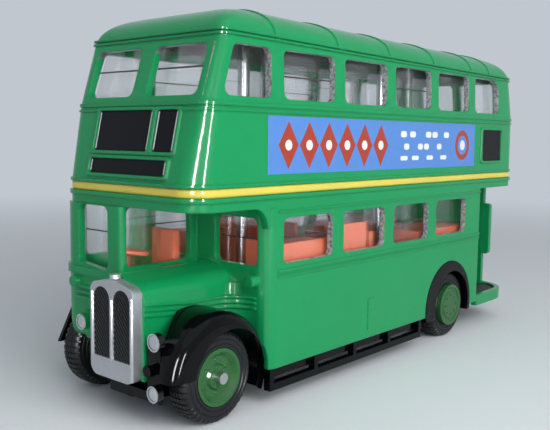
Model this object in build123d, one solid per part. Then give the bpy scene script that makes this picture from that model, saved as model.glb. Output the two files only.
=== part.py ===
from build123d import *
import os
from math import cos, radians, sin, tan

# A die-cast collector's model of a half-cab double decker bus with an open rear platform.
# Millimetres. +X is forward, +Y is the kerb side (the model's left), +Z is up.
# The origin is on the ground, under the middle of the model.

# Whole model
MODEL_LENGTH = 104.3
BODY_WIDTH = 30.1
WALL = 1.1  # cast walls
FIT = 0.06  # gap between a moulding and the casting round it
FRONT_X = MODEL_LENGTH / 2
REAR_X = -MODEL_LENGTH / 2
HALF_WIDTH = BODY_WIDTH / 2

# Running gear
FRONT_OVERHANG = 9.85  # front axle behind the radiator
REAR_OVERHANG = 29.4  # rear axle ahead of the rear lip
TYRE_RADIUS = 6.6
TYRE_WIDTH = 3.9
TYRE_SHOULDER = 1.1
TYRE_INSET = 0.85  # outer tyre faces inside the body's sides
TYRE_ROOM = 0.3  # running gap round a tyre
TWIN_GAP = 0.5  # between the two tyres of a rear pair
HUB_RADIUS = 4.1
HUB_RIM = 0.5  # raised rim round a hub
HUB_SLOPE = 0.3  # run of the short slopes on a hub's face
FRONT_DISH = 0.7  # how far the front hub's face lies behind its rim
FRONT_DISH_RADIUS = 2.9
FRONT_BOSS_RADIUS = 1.6
FRONT_BOSS_RISE = 0.4
REAR_HUB_STEP = 0.7  # the rear hub's rim stands this far out of the tyre
REAR_GROOVE = 0.25  # depth of the ring groove in the rear hub
REAR_CENTRE_RADIUS = 2.6
REAR_CAP = 0.6  # rear hub wall over the axle's end
AXLE_RADIUS = 0.8
AXLE_PLAY = 0.08  # running gap between an axle and its bearing
AXLE_NUB = 0.8  # how far the front axle's ends stand out of the tyres' faces
FRONT_AXLE_X = FRONT_X - FRONT_OVERHANG
REAR_AXLE_X = REAR_X + REAR_OVERHANG
AXLE_Z = TYRE_RADIUS
TYRE_FACE_Y = HALF_WIDTH - TYRE_INSET
TYRE_INNER_Y = TYRE_FACE_Y - TYRE_WIDTH
TWIN_FACE_Y = TYRE_INNER_Y - TWIN_GAP
TWIN_INNER_Y = TWIN_FACE_Y - TYRE_WIDTH

# Heights
SKIRT_Z = 5.6  # lower edge of the side panels
BAND_Z = 31.6
BAND_HEIGHT = 1.3
CORNICE_HEIGHT = 1.9
LOWER_WINDOW_HEIGHT = 9.3  # lower sill to cornice
UPPER_PANEL_HEIGHT = 11.6
UPPER_WINDOW_HEIGHT = 8.85  # upper sill to gutter
ROOF_RISE = 4.85
ROOF_FALL = 0.6  # degrees that the roof falls towards the rear
CORNICE_Z = BAND_Z - CORNICE_HEIGHT
SILL_Z = CORNICE_Z - LOWER_WINDOW_HEIGHT
UPPER_Z = BAND_Z + BAND_HEIGHT
UPPER_SILL_Z = UPPER_Z + UPPER_PANEL_HEIGHT
GUTTER_Z = UPPER_SILL_Z + UPPER_WINDOW_HEIGHT

# Plan of the body
BAND_SETBACK = 4.3  # front of the upper deck behind the radiator
FRONT_CORNER = 4.1  # plan radius of the front corners at the band
SILL_CORNER = 2.5  # the same at the upper sill
GUTTER_CORNER = 1.5  # the same at the gutter
CROWN_CORNER = 4.1  # the same at the roof's crown
REAR_CORNER = 5.6
LOWER_FRONT_CORNER = 2.2
LOWER_REAR_CORNER = 7.5
LIP = 0.3  # how far the cornice lip stands out
LIP_HEIGHT = 0.65
UPPER_SILL_RAKE = 2.6  # how far the front leans back by the upper sill
GUTTER_RAKE = 5.6  # how far the front leans back by the gutter
GUTTER_REAR = 1.3  # how far the rear leans in by the gutter
UPPER_SILL_INSET = 0.1  # how far each side leans in by the upper sill
GUTTER_INSET = 0.5
BAND_FRONT_X = FRONT_X - BAND_SETBACK
BAND_REAR_X = REAR_X + LIP

# Roof: the flat crown's half width, and how far the ends run in to it from the gutter
ROOF_CROWN_HALF = 5.95
ROOF_FRONT_RUN = 11.5
ROOF_REAR_RUN = 10.0
ROOF_STATIONS = (0, 28, 52, 73, 90)  # degrees along the roof's quarter ellipse
RIB_WIDTH = 0.7
RIB_HEIGHT = 0.15
LAST_RIB_STEP = 8.0  # from the last pillar's rib to the rear one

# Raised lines
BEAD_HEIGHT = 0.5
BEAD_PROUD = 0.2
THIN_BEAD = 0.35
BEAD_STEP = 0.9  # from a bead's top to the thin one below it
GUTTER_BEAD = 0.3
GUTTER_STEP = 0.55
GUTTER_PROUD = 0.3
CANTRAIL_DROP = 0.5  # thin bead's top below the cornice

# Half cab and bonnet
RADIATOR_DEPTH = 1.6
BONNET_LENGTH = 17.05
CAB_SETBACK = 3.7  # cab front behind the radiator
CAB_SIDE_Y = 0.2  # the cab's kerb side wall
CAB_CORNER = 4.4
CAB_POST_CORNER = 0.8
CAB_SKIRT_Z = 9.4
CAB_SKIRT_INSET = 2.55  # lower corner of the cab's front panel inside the body's side
CAB_SKIRT_CORNER = 3.0
CAB_SILL_HEIGHT = 1.2
CAB_SILL_PROUD = 0.35
CAB_SILL_DROP = 0.2  # cab sill moulding's top below the lower sill
LOUVRES = 3
LOUVRE_PITCH = 0.85
LOUVRE_HEIGHT = 0.4
LOUVRE_LENGTH = 3.6
LOUVRE_PROUD = 0.3
LOUVRE_INSET = 4.95  # louvres' outer ends inside the body's side
LOUVRE_DROP = 5.1  # lowest louvre below the lower sill
WING_REACH = 6.9  # inner edge of a front wing inside the body's side
BONNET_GAP = 0.15  # between the bonnet and a wing
BONNET_OVERLAP = 2.3  # how far the bonnet reaches in front of the cab
BONNET_SHOULDER_DROP = 1.0  # bonnet's shoulder below the lower sill
BONNET_RIDGE_RISE = 1.5  # bonnet's ridge above its shoulder
BONNET_ROUND = 2.6
BONNET_SKIRT_Z = 6.5
LEDGE_DROP = 4.1  # ledge along the bonnet's side below the lower sill
LEDGE_HEIGHT = 0.35
LEDGE_PROUD = 0.2
LEDGE_LENGTH = 8.8
LEDGE_RISE = 1.0  # ledge higher at the radiator than at the flare
LEDGE_RIDGES = 3
LEDGE_PITCH = 0.75
UPPER_FLARE = 2.0  # hollow between bonnet and bulkhead above the ledge
CANOPY_THICKNESS = 1.0
CANOPY_ARCH = 3.0  # radius of the curve from the canopy into the corner post
BONNET_FRONT_X = FRONT_X - RADIATOR_DEPTH
BULKHEAD_X = BONNET_FRONT_X - BONNET_LENGTH
CAB_FRONT_X = FRONT_X - CAB_SETBACK
CAB_CORNER_X = CAB_FRONT_X - CAB_CORNER
CAB_PANEL_Y = CAB_SKIRT_INSET - HALF_WIDTH
WING_INNER_Y = HALF_WIDTH - WING_REACH
BONNET_Y = (CAB_SIDE_Y - BONNET_OVERLAP, WING_INNER_Y - BONNET_GAP)
BONNET_MIDDLE_Y = (BONNET_Y[0] + BONNET_Y[1]) / 2
BONNET_SHOULDER_Z = SILL_Z - BONNET_SHOULDER_DROP
BONNET_RIDGE_Z = BONNET_SHOULDER_Z + BONNET_RIDGE_RISE
LEDGE_Z = SILL_Z - LEDGE_DROP
FLARE = HALF_WIDTH - LOWER_FRONT_CORNER - BONNET_Y[1]

# Rear platform
PLATFORM_LENGTH = 17.15
PLATFORM_SETBACK = 1.0  # lower rear wall ahead of the lip
PLATFORM_Z = (4.65, 6.85)  # rim of the platform
PLATFORM_FLOOR = 1.2
PLATFORM_SINK = 0.5  # floor below the rim's top
REAR_WALL_EDGE = 6.85  # rear wall's free edge inside the body's side
REAR_TAB_WIDTH = 1.6
REAR_TAB_RISE = 6.65  # rear wall's tab above the rim
REAR_TAB_DROP = 4.5  # rear wall's tab below the cornice
REAR_TAB_ROUND = 0.7
DOORWAY_Y = (-3.2, 4.6)
LOWER_REAR_X = BAND_REAR_X + PLATFORM_SETBACK
PLATFORM_FRONT_X = LOWER_REAR_X + PLATFORM_LENGTH
REAR_WALL_EDGE_Y = HALF_WIDTH - REAR_WALL_EDGE

# Windows: pillars stand at one pitch on both decks
FIRST_PILLAR = 2.0  # first pillar behind the bulkhead
LAST_PILLAR = 4.8  # last pillar ahead of the platform
BAYS = 4
LOWER_PILLAR = 3.0
UPPER_PILLAR = 2.75
WINDOW_ROUND = 1.1
LOWER_PANE_EDGE = (0.8, 1.7)  # above the lower sill, below the cornice
UPPER_PANE_EDGE = (0.85, 0.95)  # above the upper sill, below the gutter
CAB_PANE_EDGE = (0.4, 0.1)  # above the lower sill, below the cornice
BULKHEAD_PANE_DROP = 0.3  # bulkhead panes below the side panes
FRONT_PANE_INSET = 2.95  # front panes inside the body's side
FRONT_PANE_POST = 3.0
QUARTER_CORNER = 2.2  # solid corner ahead of the front quarter light
LAST_PANE_SETBACK = 10.6  # solid corner behind the last upper window
LAST_PANE_ROUND = 3.0
REAR_PANE_INSET = 5.85
REAR_PANE_POST = 1.6
LOWER_REAR_PANE_INSET = 7.85
LOWER_REAR_PANE_Y = -0.6  # the lower rear pane's edge by the middle
BULKHEAD_PANE_INSET = 2.05
BULKHEAD_PANE_Y = 4.2  # the bulkhead pane's edge by the bonnet
DRIVER_PANE_INSET = 2.45
DRIVER_PANE_Y = -2.4
WINDSCREEN_INSET = 5.25
WINDSCREEN_POST = 2.9  # kerb side post of the windscreen
WINDSCREEN_SLOPE = 0.7  # windscreen's lower edge falls this much to the kerb side
CAB_REAR_POST = 1.4
GLASS = 0.7
FIRST_PILLAR_X = BULKHEAD_X - FIRST_PILLAR
LAST_PILLAR_X = PLATFORM_FRONT_X + LAST_PILLAR
BAY_PITCH = (FIRST_PILLAR_X - LAST_PILLAR_X) / BAYS
PILLARS_X = [FIRST_PILLAR_X - BAY_PITCH * bay for bay in range(BAYS + 1)]
LOWER_PANE_Z = (SILL_Z + LOWER_PANE_EDGE[0], CORNICE_Z - LOWER_PANE_EDGE[1])
UPPER_PANE_Z = (UPPER_SILL_Z + UPPER_PANE_EDGE[0], GUTTER_Z - UPPER_PANE_EDGE[1])
CAB_PANE_Z = (SILL_Z + CAB_PANE_EDGE[0], CORNICE_Z - CAB_PANE_EDGE[1])
BULKHEAD_PANE_Z = (LOWER_PANE_Z[0] - BULKHEAD_PANE_DROP, LOWER_PANE_Z[1])

# Destination blinds: limits across the front (from the offside), and heights above the band
BLIND_RIM = 0.45
BLIND_PROUD = 0.3  # rim stands out of the panel
BLIND_PLATE = 0.3
BLIND_ROUND = 0.5
FRONT_BLINDS = (
    ((7.05 - HALF_WIDTH, 4.3), (4.7, 10.5)),
    ((5.1, HALF_WIDTH - 5.45), (4.7, 10.5)),
    ((6.75 - HALF_WIDTH, HALF_WIDTH - 6.25), (1.4, 3.6)),
)
SIDE_BLIND_X = (PLATFORM_FRONT_X - 8.8, PLATFORM_FRONT_X + 0.2)
SIDE_BLIND_RISE = (2.5, 9.0)

# Wings and wheel arches
WING_RADIUS = 9.5
WING_SKIN = 0.7
WING_FLANGE = 0.6
WING_SHIFT = 0.1  # wing's centre behind the axle
WING_DROP = 0.3  # wing's centre below the axle
WING_OPENING = 7.0
WING_OPENING_SHIFT = 1.5  # opening's centre behind the wing's
WING_ROUND = 2.0
WING_REAR_Z = 3.2
WING_FRONT_Z = 7.6
WING_NOSE = (2.55, 4.15)  # how far ahead of its centre the nose starts to narrow, and by how much
OFFSIDE_NOSE = 0.5  # the offside wing's nose ahead of the cab's front
OFFSIDE_LEAN = 27.0  # degrees that the offside nose leans back
REAR_ARCH_RADIUS = 9.1
REAR_ARCH_SHIFT = 1.2  # arch's centre ahead of the axle
LINER_SKIN = 1.1
LINER_GAP = 0.1  # between the liner and the base
LINER_PROUD = 0.1
WING_X = FRONT_AXLE_X - WING_SHIFT
WING_Z = AXLE_Z - WING_DROP
REAR_ARCH_X = REAR_AXLE_X + REAR_ARCH_SHIFT
REAR_OPENING = TYRE_RADIUS + TYRE_ROOM

# Radiator
RADIATOR_INSET = (0.25, 0.35)  # inside the bonnet's sides
RADIATOR_BOTTOM_Z = 6.2
RADIATOR_DROP = 1.1  # radiator's shoulders below the lower sill
RADIATOR_RISE = 0.95  # peak of the radiator's top above its shoulders
RADIATOR_ROUND = 1.5
GRILLE_MARGIN = 0.75
GRILLE_RIB = 0.8
GRILLE_Z = 9.0
GRILLE_DEPTH = 0.6
CAP_RADIUS = 0.8
CAP_HEIGHT = 0.6
RADIATOR_Y = (BONNET_Y[0] + RADIATOR_INSET[0], BONNET_Y[1] - RADIATOR_INSET[1])
RADIATOR_Z = (RADIATOR_BOTTOM_Z, SILL_Z - RADIATOR_DROP)

# Lamps: node, y, z, radius
LAMP_SETBACK = 0.9  # lamp faces behind the radiator's front
LAMP_DEPTH = 1.0
LAMP_LENS = 0.35
LAMP_RIM = 0.25
LAMPS = (
    ("headlamp_left", WING_INNER_Y + 2.55, 12.6, 1.25),
    ("fog_lamp", WING_INNER_Y + 2.35, 5.5, 1.15),
)
CAB_LAMP_INSET = 7.6
CAB_LAMP_Z = 12.1
CAB_LAMP_RADIUS = 1.2
CAB_LAMP_BOSS = (0.45, 0.45)  # width of the boss round the lamp, and how far it stands out
SIDE_LAMP_RADIUS = 0.85
SIDE_LAMP_LENGTH = 1.6
SIDE_LAMP_DROP = (2.65, 1.6)  # cab and bulkhead side lamps below the lower sill
SIDE_LAMP_INSET = (4.65, 2.35)  # cab and bulkhead side lamps inside the body's side
HORN_INSET = 1.15  # from the wing's inner edge
HORN_Z = 8.4
HORN_RADIUS = 0.8
BRACKET_Y = (WING_INNER_Y + 0.15, WING_INNER_Y + 2.85)  # upright that carries the left lamps
BRACKET_THICKNESS = 0.5
LAMP_X = FRONT_X - LAMP_SETBACK
CAB_LAMP_Y = CAB_LAMP_INSET - HALF_WIDTH

# Filler flap on the kerb side: how far behind the bulkhead, its length, height and notches
FLAP_SETBACK = 26.1
FLAP_LENGTH = 2.2
FLAP_Z = (7.0, 12.5)
FLAP_PROUD = 0.15
FLAP_NOTCHES = 2
FLAP_NOTCH = (0.6, 0.5)

# Base and life rails
BASE_Z = (3.9, 5.2)
BASE_GAP = 0.5  # between the base and the inner tyres
BASE_FRONT_GAP = 2.3  # base behind the bonnet's front
RAIL_Z = (2.2, 3.3)
RAIL_INSET = (1.45, 0.25)  # rail's edges inside the body's side
RAIL_GAP = 0.3  # rail behind the wing
RAIL_POST = 0.9
RAIL_POSTS = 5
OUTRIGGER = 1.0
BEARING_INSET = 1.4
BEARING_WALL = 1.0
SUMP_LENGTH = 12.0
SUMP_HALF = 2.6
SUMP_Z = 2.6
POST_RADIUS = 1.0
FRONT_POST_SETBACK = 10.5  # front assembly post behind the bulkhead
REAR_POST_AHEAD = 4.75  # rear assembly post ahead of the rear axle
BOSS_RADIUS = 2.0
SCREW_RADIUS = 0.8
SCREW_HEAD = 1.5
SCREW_HEAD_HEIGHT = 0.5
PLINTH_HOLE_RADIUS = 0.9
PLINTH_HOLE_OFFSET = 9.0  # plinth holes behind the assembly posts
PLINTH_HOLE_DEPTH = 3.5
PLINTH_HOLE_ROOF = 0.6  # solid above a plinth hole
BASE_HALF = TWIN_INNER_Y - BASE_GAP
BEARING_HALF = BASE_HALF - BEARING_INSET
LINER_INNER_Y = BASE_HALF + LINER_GAP
RAIL_Y = (HALF_WIDTH - RAIL_INSET[0], HALF_WIDTH - RAIL_INSET[1])
POSTS_X = (BULKHEAD_X - FRONT_POST_SETBACK, REAR_AXLE_X + REAR_POST_AHEAD)

# Seats and floors
FLOOR = 0.8
LOWER_FLOOR_Z = 9.4
UPPER_FLOOR_RISE = 0.1  # upper floor above the band
ROWS_PER_BAY = 2
LEG_ROOM = 2.9  # between a cushion and the seat back ahead
SEAT_GANGWAY = 4.4  # half width of the gangway
SEAT_INSET = 2.35  # seats inside the body's side
SEAT_HEIGHT = 5.6
SEAT_BACK = 1.1
LOWER_BACK_RISE = 3.2  # lower seat backs above the sill
UPPER_BACK_DROP = 0.9  # upper seat backs below the sill
LOWER_ROWS = 4
UPPER_ROWS = 8
BENCH_RISE = 1.8
TRIM_Y = (0.5, 0.25)  # side trim inside and outside the seats' ends
TRIM_RISES = (3.3, 5.1)  # side trim of the first two bays above the sill
TRIM_LENGTH = 11.0  # of the second bay
DRIVER_GAP = 0.65  # from the wing's inner edge
DRIVER_EDGE_Y = -2.4
DRIVER_BACK_RISE = 4.7
DRIVER_AHEAD = 2.6  # driver's seat back ahead of the bulkhead
DRIVER_DEPTH = 4.2
STEER_AHEAD = 9.4  # steering wheel ahead of the bulkhead
STEER_Y = -5.1
STEER_RISE = 1.8
STEER_RAKE = 9.0  # degrees that the column leans forward at its foot
WHEEL_RIM_RADIUS = 2.7
WHEEL_RIM_TUBE = 0.4
STAIRS = 8
STAIR_WIDTH = 7.0
STAIR_DROP = 0.5  # stair top below the cornice
STAIR_SPINE = 1.0
STAIR_SETBACK = 2.8  # stair foot ahead of the rear glass
SEAT_PITCH = BAY_PITCH / ROWS_PER_BAY
SEAT_DEPTH = SEAT_PITCH - LEG_ROOM
SEAT_Y = (SEAT_GANGWAY, HALF_WIDTH - SEAT_INSET)
UPPER_FLOOR_Z = UPPER_Z + UPPER_FLOOR_RISE
LOWER_BACK_Z = SILL_Z + LOWER_BACK_RISE
UPPER_BACK_Z = UPPER_SILL_Z - UPPER_BACK_DROP
DRIVER_X = BULKHEAD_X + DRIVER_AHEAD
DRIVER_Y = (DRIVER_GAP - WING_INNER_Y, DRIVER_EDGE_Y)
STEER_Z = SILL_Z + STEER_RISE
STAIR_TOP_Z = CORNICE_Z - STAIR_DROP


def block(x, y, z):
    """A box between three (low, high) pairs."""
    pairs = (x, y, z)
    middle = [(low + high) / 2 for low, high in pairs]
    return Pos(*middle) * Box(*[high - low for low, high in pairs])


def across(sketch, y):
    """Extrudes an (x, z) sketch from y[0] to y[1]."""
    plane = Plane((0, y[1], 0), x_dir=(1, 0, 0), z_dir=(0, -1, 0))
    return extrude(plane * sketch, y[1] - y[0])


def along(sketch, x):
    """Extrudes a (y, z) sketch from x[0] to x[1]."""
    plane = Plane((x[0], 0, 0), x_dir=(0, 1, 0), z_dir=(1, 0, 0))
    return extrude(plane * sketch, x[1] - x[0])


def raised_from(sketch, z):
    """Extrudes a plan from z[0] to z[1]."""
    return Pos(0, 0, z[0]) * extrude(sketch, z[1] - z[0])


def outline(points, radii):
    """A closed outline with a corner radius at each point."""
    return make_face(FilletPolyline(*points, radius=radii, close=True))


def sharp(points):
    """A closed outline with sharp corners."""
    return make_face(Polyline(*points, close=True))


def pane(across_range, height_range, radius, grow=0):
    """A rounded rectangle between two (low, high) pairs, grown all round."""
    low, high = across_range
    bottom, top = height_range
    frame = RectangleRounded(high - low + 2 * grow, top - bottom + 2 * grow, radius)
    return Pos((low + high) / 2, (bottom + top) / 2) * frame


def turned(face, x, z):
    """Turns an (r, y) face about the line across the model at x and z."""
    return Pos(x, 0, z) * revolve(face, Axis.Y)


def disc(x, z, radius, y):
    """A cylinder across the model from y[0] to y[1]."""
    return across(Pos(x, z) * Circle(radius), y)


def knob(y, z, radius, x):
    """A cylinder along the model from x[0] to x[1]."""
    return along(Pos(y, z) * Circle(radius), x)


def right(part):
    """The mirror image on the offside."""
    return mirror(part, Plane.XZ)


def both_sides(part):
    """The part and its mirror image on the other side."""
    return part + right(part)


FULL_WIDTH = (-BODY_WIDTH, BODY_WIDTH)


def plan(front, rear, half, front_corner, grow, rear_corner=REAR_CORNER):
    """The body's plan: a rectangle with rounded corners, grown outwards all round."""
    points = [
        (front + grow, half + grow),
        (rear - grow, half + grow),
        (rear - grow, -half - grow),
        (front + grow, -half - grow),
    ]
    front_radius = max(front_corner + grow, FIT)
    rear_radius = rear_corner + grow
    return outline(points, [front_radius, rear_radius, rear_radius, front_radius])


def band_plan(grow):
    """Plan of the body at the band."""
    return plan(BAND_FRONT_X, BAND_REAR_X, HALF_WIDTH, FRONT_CORNER, grow)


def lower_plan(grow):
    """Plan of the lower saloon and platform."""
    return plan(BULKHEAD_X, LOWER_REAR_X, HALF_WIDTH, LOWER_FRONT_CORNER, grow, LOWER_REAR_CORNER)


# Upper deck walls: height, front, rear, half width, front corner
GUTTER_REAR_X = BAND_REAR_X + GUTTER_REAR
UPPER_WALLS = (
    (UPPER_Z, BAND_FRONT_X, BAND_REAR_X, HALF_WIDTH, FRONT_CORNER),
    (UPPER_SILL_Z, BAND_FRONT_X - UPPER_SILL_RAKE, BAND_REAR_X, HALF_WIDTH - UPPER_SILL_INSET, SILL_CORNER),
    (GUTTER_Z, BAND_FRONT_X - GUTTER_RAKE, GUTTER_REAR_X, HALF_WIDTH - GUTTER_INSET, GUTTER_CORNER),
)


def upper_wall_at(z):
    """Front, rear, half width and front corner of the upper deck at height z."""
    for low, high in zip(UPPER_WALLS, UPPER_WALLS[1:]):
        if z <= high[0]:
            share = (z - low[0]) / (high[0] - low[0])
            return [a + share * (b - a) for a, b in zip(low[1:], high[1:])]
    return list(UPPER_WALLS[-1][1:])


def level(z, tilt=0):
    """The place of a plan at height z, tilted so that it falls towards the rear."""
    return Pos(0, 0, z) * Rot(0, -tilt, 0)


def upper_walls(grow):
    """The upper deck up to the gutter, grown outwards all round."""
    tilts = (0, 0, ROOF_FALL)
    sections = [level(row[0], tilt) * plan(*row[1:], grow) for row, tilt in zip(UPPER_WALLS, tilts)]
    return loft(sections, ruled=True)


def roof(grow):
    """The roof above the gutter: plans that run in along a quarter ellipse."""
    front, rear, half, corner = UPPER_WALLS[-1][1:]
    sections = []
    for angle in ROOF_STATIONS:
        share = 1 - cos(radians(angle))
        section = plan(front - ROOF_FRONT_RUN * share, rear + ROOF_REAR_RUN * share,
                       half - (half - ROOF_CROWN_HALF) * share,
                       corner + (CROWN_CORNER - corner) * share, grow)
        sections.append(level(GUTTER_Z + (ROOF_RISE + grow) * sin(radians(angle)), ROOF_FALL) * section)
    return loft(sections)


def upper_bead(top, height, proud, tilt=0):
    """A raised line round the upper deck."""
    row = upper_wall_at(top - height)
    ring = extrude(plan(*row, proud) - plan(*row, -WALL / 2), height)
    return level(top - height, tilt) * ring


def upper_side_panes():
    """The x limits of the upper side windows between the pillars."""
    half = UPPER_PILLAR / 2
    return [(rear + half, front - half) for front, rear in zip(PILLARS_X, PILLARS_X[1:])]


def front_blind_faces(grow):
    """The front blinds seen from the front, grown all round."""
    faces = []
    for limits, rise in FRONT_BLINDS:
        height = (UPPER_Z + rise[0], UPPER_Z + rise[1])
        faces.append(pane(limits, height, BLIND_ROUND, grow))
    return faces


def side_blind_face(grow):
    """The blind over the platform seen from the kerb side, grown all round."""
    height = (UPPER_Z + SIDE_BLIND_RISE[0], UPPER_Z + SIDE_BLIND_RISE[1])
    return pane(SIDE_BLIND_X, height, BLIND_ROUND, grow)


def blind_prisms(grow):
    """Prisms through the front panel and the kerb side panel at the blinds."""
    prisms = [along(face, (PILLARS_X[0], FRONT_X)) for face in front_blind_faces(grow)]
    return prisms + [across(side_blind_face(grow), (0, BODY_WIDTH))]


def blind_plates():
    """The plates that lie in the blinds' pockets, front ones and the side one."""
    layer = upper_walls(0) - upper_walls(FIT - BLIND_PLATE)
    plates = [layer & prism for prism in blind_prisms(-FIT)]
    return Part() + plates[:-1], plates[-1]


def upper_windows():
    """Everything that is cut out of the upper deck for its windows."""
    cuts = [across(pane(limits, UPPER_PANE_Z, WINDOW_ROUND), FULL_WIDTH) for limits in upper_side_panes()]
    low_front = upper_wall_at(UPPER_PANE_Z[0])[0] - QUARTER_CORNER
    high_front = upper_wall_at(UPPER_PANE_Z[1])[0] - QUARTER_CORNER
    quarter_rear = PILLARS_X[0] + UPPER_PILLAR / 2
    quarter = outline(
        [(low_front, UPPER_PANE_Z[0]), (high_front, UPPER_PANE_Z[1]),
         (quarter_rear, UPPER_PANE_Z[1]), (quarter_rear, UPPER_PANE_Z[0])],
        [WINDOW_ROUND, WINDOW_ROUND, WINDOW_ROUND, WINDOW_ROUND])
    cuts.append(across(quarter, FULL_WIDTH))
    last_front = PILLARS_X[-1] - UPPER_PILLAR / 2
    last_rear = BAND_REAR_X + LAST_PANE_SETBACK
    last = outline(
        [(last_front, UPPER_PANE_Z[0]), (last_front, UPPER_PANE_Z[1]),
         (last_rear, UPPER_PANE_Z[1]), (last_rear, UPPER_PANE_Z[0])],
        [WINDOW_ROUND, WINDOW_ROUND, LAST_PANE_ROUND, WINDOW_ROUND])
    cuts.append(across(last, FULL_WIDTH))
    for side in (-1, 1):
        front_limits = sorted((side * FRONT_PANE_POST / 2, side * (HALF_WIDTH - FRONT_PANE_INSET)))
        cuts.append(along(pane(front_limits, UPPER_PANE_Z, WINDOW_ROUND), (PILLARS_X[0], FRONT_X)))
        rear_limits = sorted((side * REAR_PANE_POST / 2, side * (HALF_WIDTH - REAR_PANE_INSET)))
        cuts.append(along(pane(rear_limits, UPPER_PANE_Z, WINDOW_ROUND), (REAR_X - WALL, last_rear)))
    return cuts


def upper_shell():
    """Upper deck panels and roof, one hollow casting with its windows and blind pockets."""
    solid = upper_walls(0) + roof(0)
    solid -= upper_walls(-WALL) + roof(-WALL)
    raised = roof(RIB_HEIGHT) - roof(-WALL / 2)
    for rib in PILLARS_X + [PILLARS_X[-1] - LAST_RIB_STEP]:
        strip = (rib - RIB_WIDTH / 2, rib + RIB_WIDTH / 2)
        solid += raised & block(strip, FULL_WIDTH, (GUTTER_Z, GUTTER_Z + 2 * ROOF_RISE))
    solid += upper_bead(UPPER_Z + BEAD_HEIGHT, BEAD_HEIGHT, BEAD_PROUD)
    solid += upper_bead(UPPER_SILL_Z, BEAD_HEIGHT, BEAD_PROUD)
    solid += upper_bead(UPPER_SILL_Z - BEAD_STEP, THIN_BEAD, BEAD_PROUD)
    solid += upper_bead(GUTTER_Z, GUTTER_BEAD, GUTTER_PROUD, ROOF_FALL)
    solid += upper_bead(GUTTER_Z + GUTTER_STEP, GUTTER_BEAD, GUTTER_PROUD, ROOF_FALL)
    frame = upper_walls(BLIND_PROUD) - upper_walls(-WALL / 2)
    for prism in blind_prisms(BLIND_RIM):
        solid += frame & prism
    pocket = upper_walls(BLIND_PROUD + WALL) - upper_walls(-BLIND_PLATE)
    for prism in blind_prisms(0):
        solid -= pocket & prism
    return solid - upper_windows()


def upper_glazing():
    """One clear moulding that lines the upper windows."""
    gap = WALL + FIT
    ring = upper_walls(-gap) - upper_walls(-gap - GLASS)
    slab = (UPPER_PANE_Z[0] - GLASS, UPPER_PANE_Z[1] + GLASS / 2)
    return ring & block((REAR_X, FRONT_X), FULL_WIDTH, slab)


def waist_band():
    """The ring between the two castings."""
    return raised_from(band_plan(0) - band_plan(-WALL), (BAND_Z, UPPER_Z))


def lower_side_panes():
    """The x limits of the lower side windows between the pillars."""
    half = LOWER_PILLAR / 2
    return [(rear + half, front - half) for front, rear in zip(PILLARS_X, PILLARS_X[1:])]


def lower_rear_pane_y():
    """The y limits of the pane behind the staircase."""
    return (LOWER_REAR_PANE_INSET - HALF_WIDTH, LOWER_REAR_PANE_Y)


def saloon():
    """Side, front and rear walls of the lower saloon with the platform opening."""
    walls = raised_from(lower_plan(0) - lower_plan(-WALL), (PLATFORM_Z[0], CORNICE_Z))
    behind = (REAR_X, PLATFORM_FRONT_X)
    ahead = (PLATFORM_FRONT_X, FRONT_X)
    walls -= block(ahead, FULL_WIDTH, (0, SKIRT_Z))
    walls -= block(behind, (REAR_WALL_EDGE_Y, BODY_WIDTH), (PLATFORM_Z[1], CORNICE_Z))
    tab_z = (PLATFORM_Z[1] + REAR_TAB_RISE, CORNICE_Z - REAR_TAB_DROP)
    tab = pane((REAR_WALL_EDGE_Y - WALL, REAR_WALL_EDGE_Y + REAR_TAB_WIDTH), tab_z, REAR_TAB_ROUND)
    walls += along(tab, (LOWER_REAR_X, LOWER_REAR_X + WALL))
    partition = (PLATFORM_FRONT_X, PLATFORM_FRONT_X + WALL)
    inside = HALF_WIDTH - WALL / 2
    walls += block(partition, (-inside, inside), (SKIRT_Z, CORNICE_Z))
    walls -= block(partition, DOORWAY_Y, (SKIRT_Z, LOWER_PANE_Z[1]))
    corner = (BULKHEAD_X - LOWER_FRONT_CORNER - WALL, BULKHEAD_X)
    walls += block(corner, (-HALF_WIDTH, WALL - HALF_WIDTH), (SKIRT_Z, CORNICE_Z))
    walls -= along(pane(lower_rear_pane_y(), LOWER_PANE_Z, WINDOW_ROUND), (REAR_X, LOWER_REAR_X + 2 * WALL))
    for limits in lower_side_panes():
        walls -= across(pane(limits, LOWER_PANE_Z, WINDOW_ROUND), FULL_WIDTH)
    kerb_pane = (BULKHEAD_PANE_Y, HALF_WIDTH - BULKHEAD_PANE_INSET)
    driver_pane = (DRIVER_PANE_INSET - HALF_WIDTH, DRIVER_PANE_Y)
    bulkhead = (BULKHEAD_X - 2 * WALL, BULKHEAD_X + WALL)
    for limits in (kerb_pane, driver_pane):
        walls -= along(pane(limits, BULKHEAD_PANE_Z, WINDOW_ROUND), bulkhead)
    return walls - disc(REAR_ARCH_X, AXLE_Z, REAR_ARCH_RADIUS, FULL_WIDTH)


def cornice():
    """The ring below the band, with the canopy over the bonnet and the platform's ceiling."""
    part = raised_from(band_plan(0) - band_plan(-WALL), (CORNICE_Z, BAND_Z))
    whole = raised_from(band_plan(0), (CORNICE_Z, CORNICE_Z + CANOPY_THICKNESS))
    part += whole & block((BULKHEAD_X - WALL, FRONT_X), (CAB_SIDE_Y - WALL, BODY_WIDTH), (0, BAND_Z))
    part += whole & block((REAR_X, PLATFORM_FRONT_X + WALL), FULL_WIDTH, (0, BAND_Z))
    part -= block(stair_x(), stair_y(), (CORNICE_Z, BAND_Z))
    return part + raised_from(band_plan(LIP) - band_plan(-WALL / 2), (BAND_Z - LIP_HEIGHT, BAND_Z))


def cab_shoulder_z():
    """The height of the wings' crowns with their gap."""
    return WING_Z + WING_RADIUS + FIT


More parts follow.
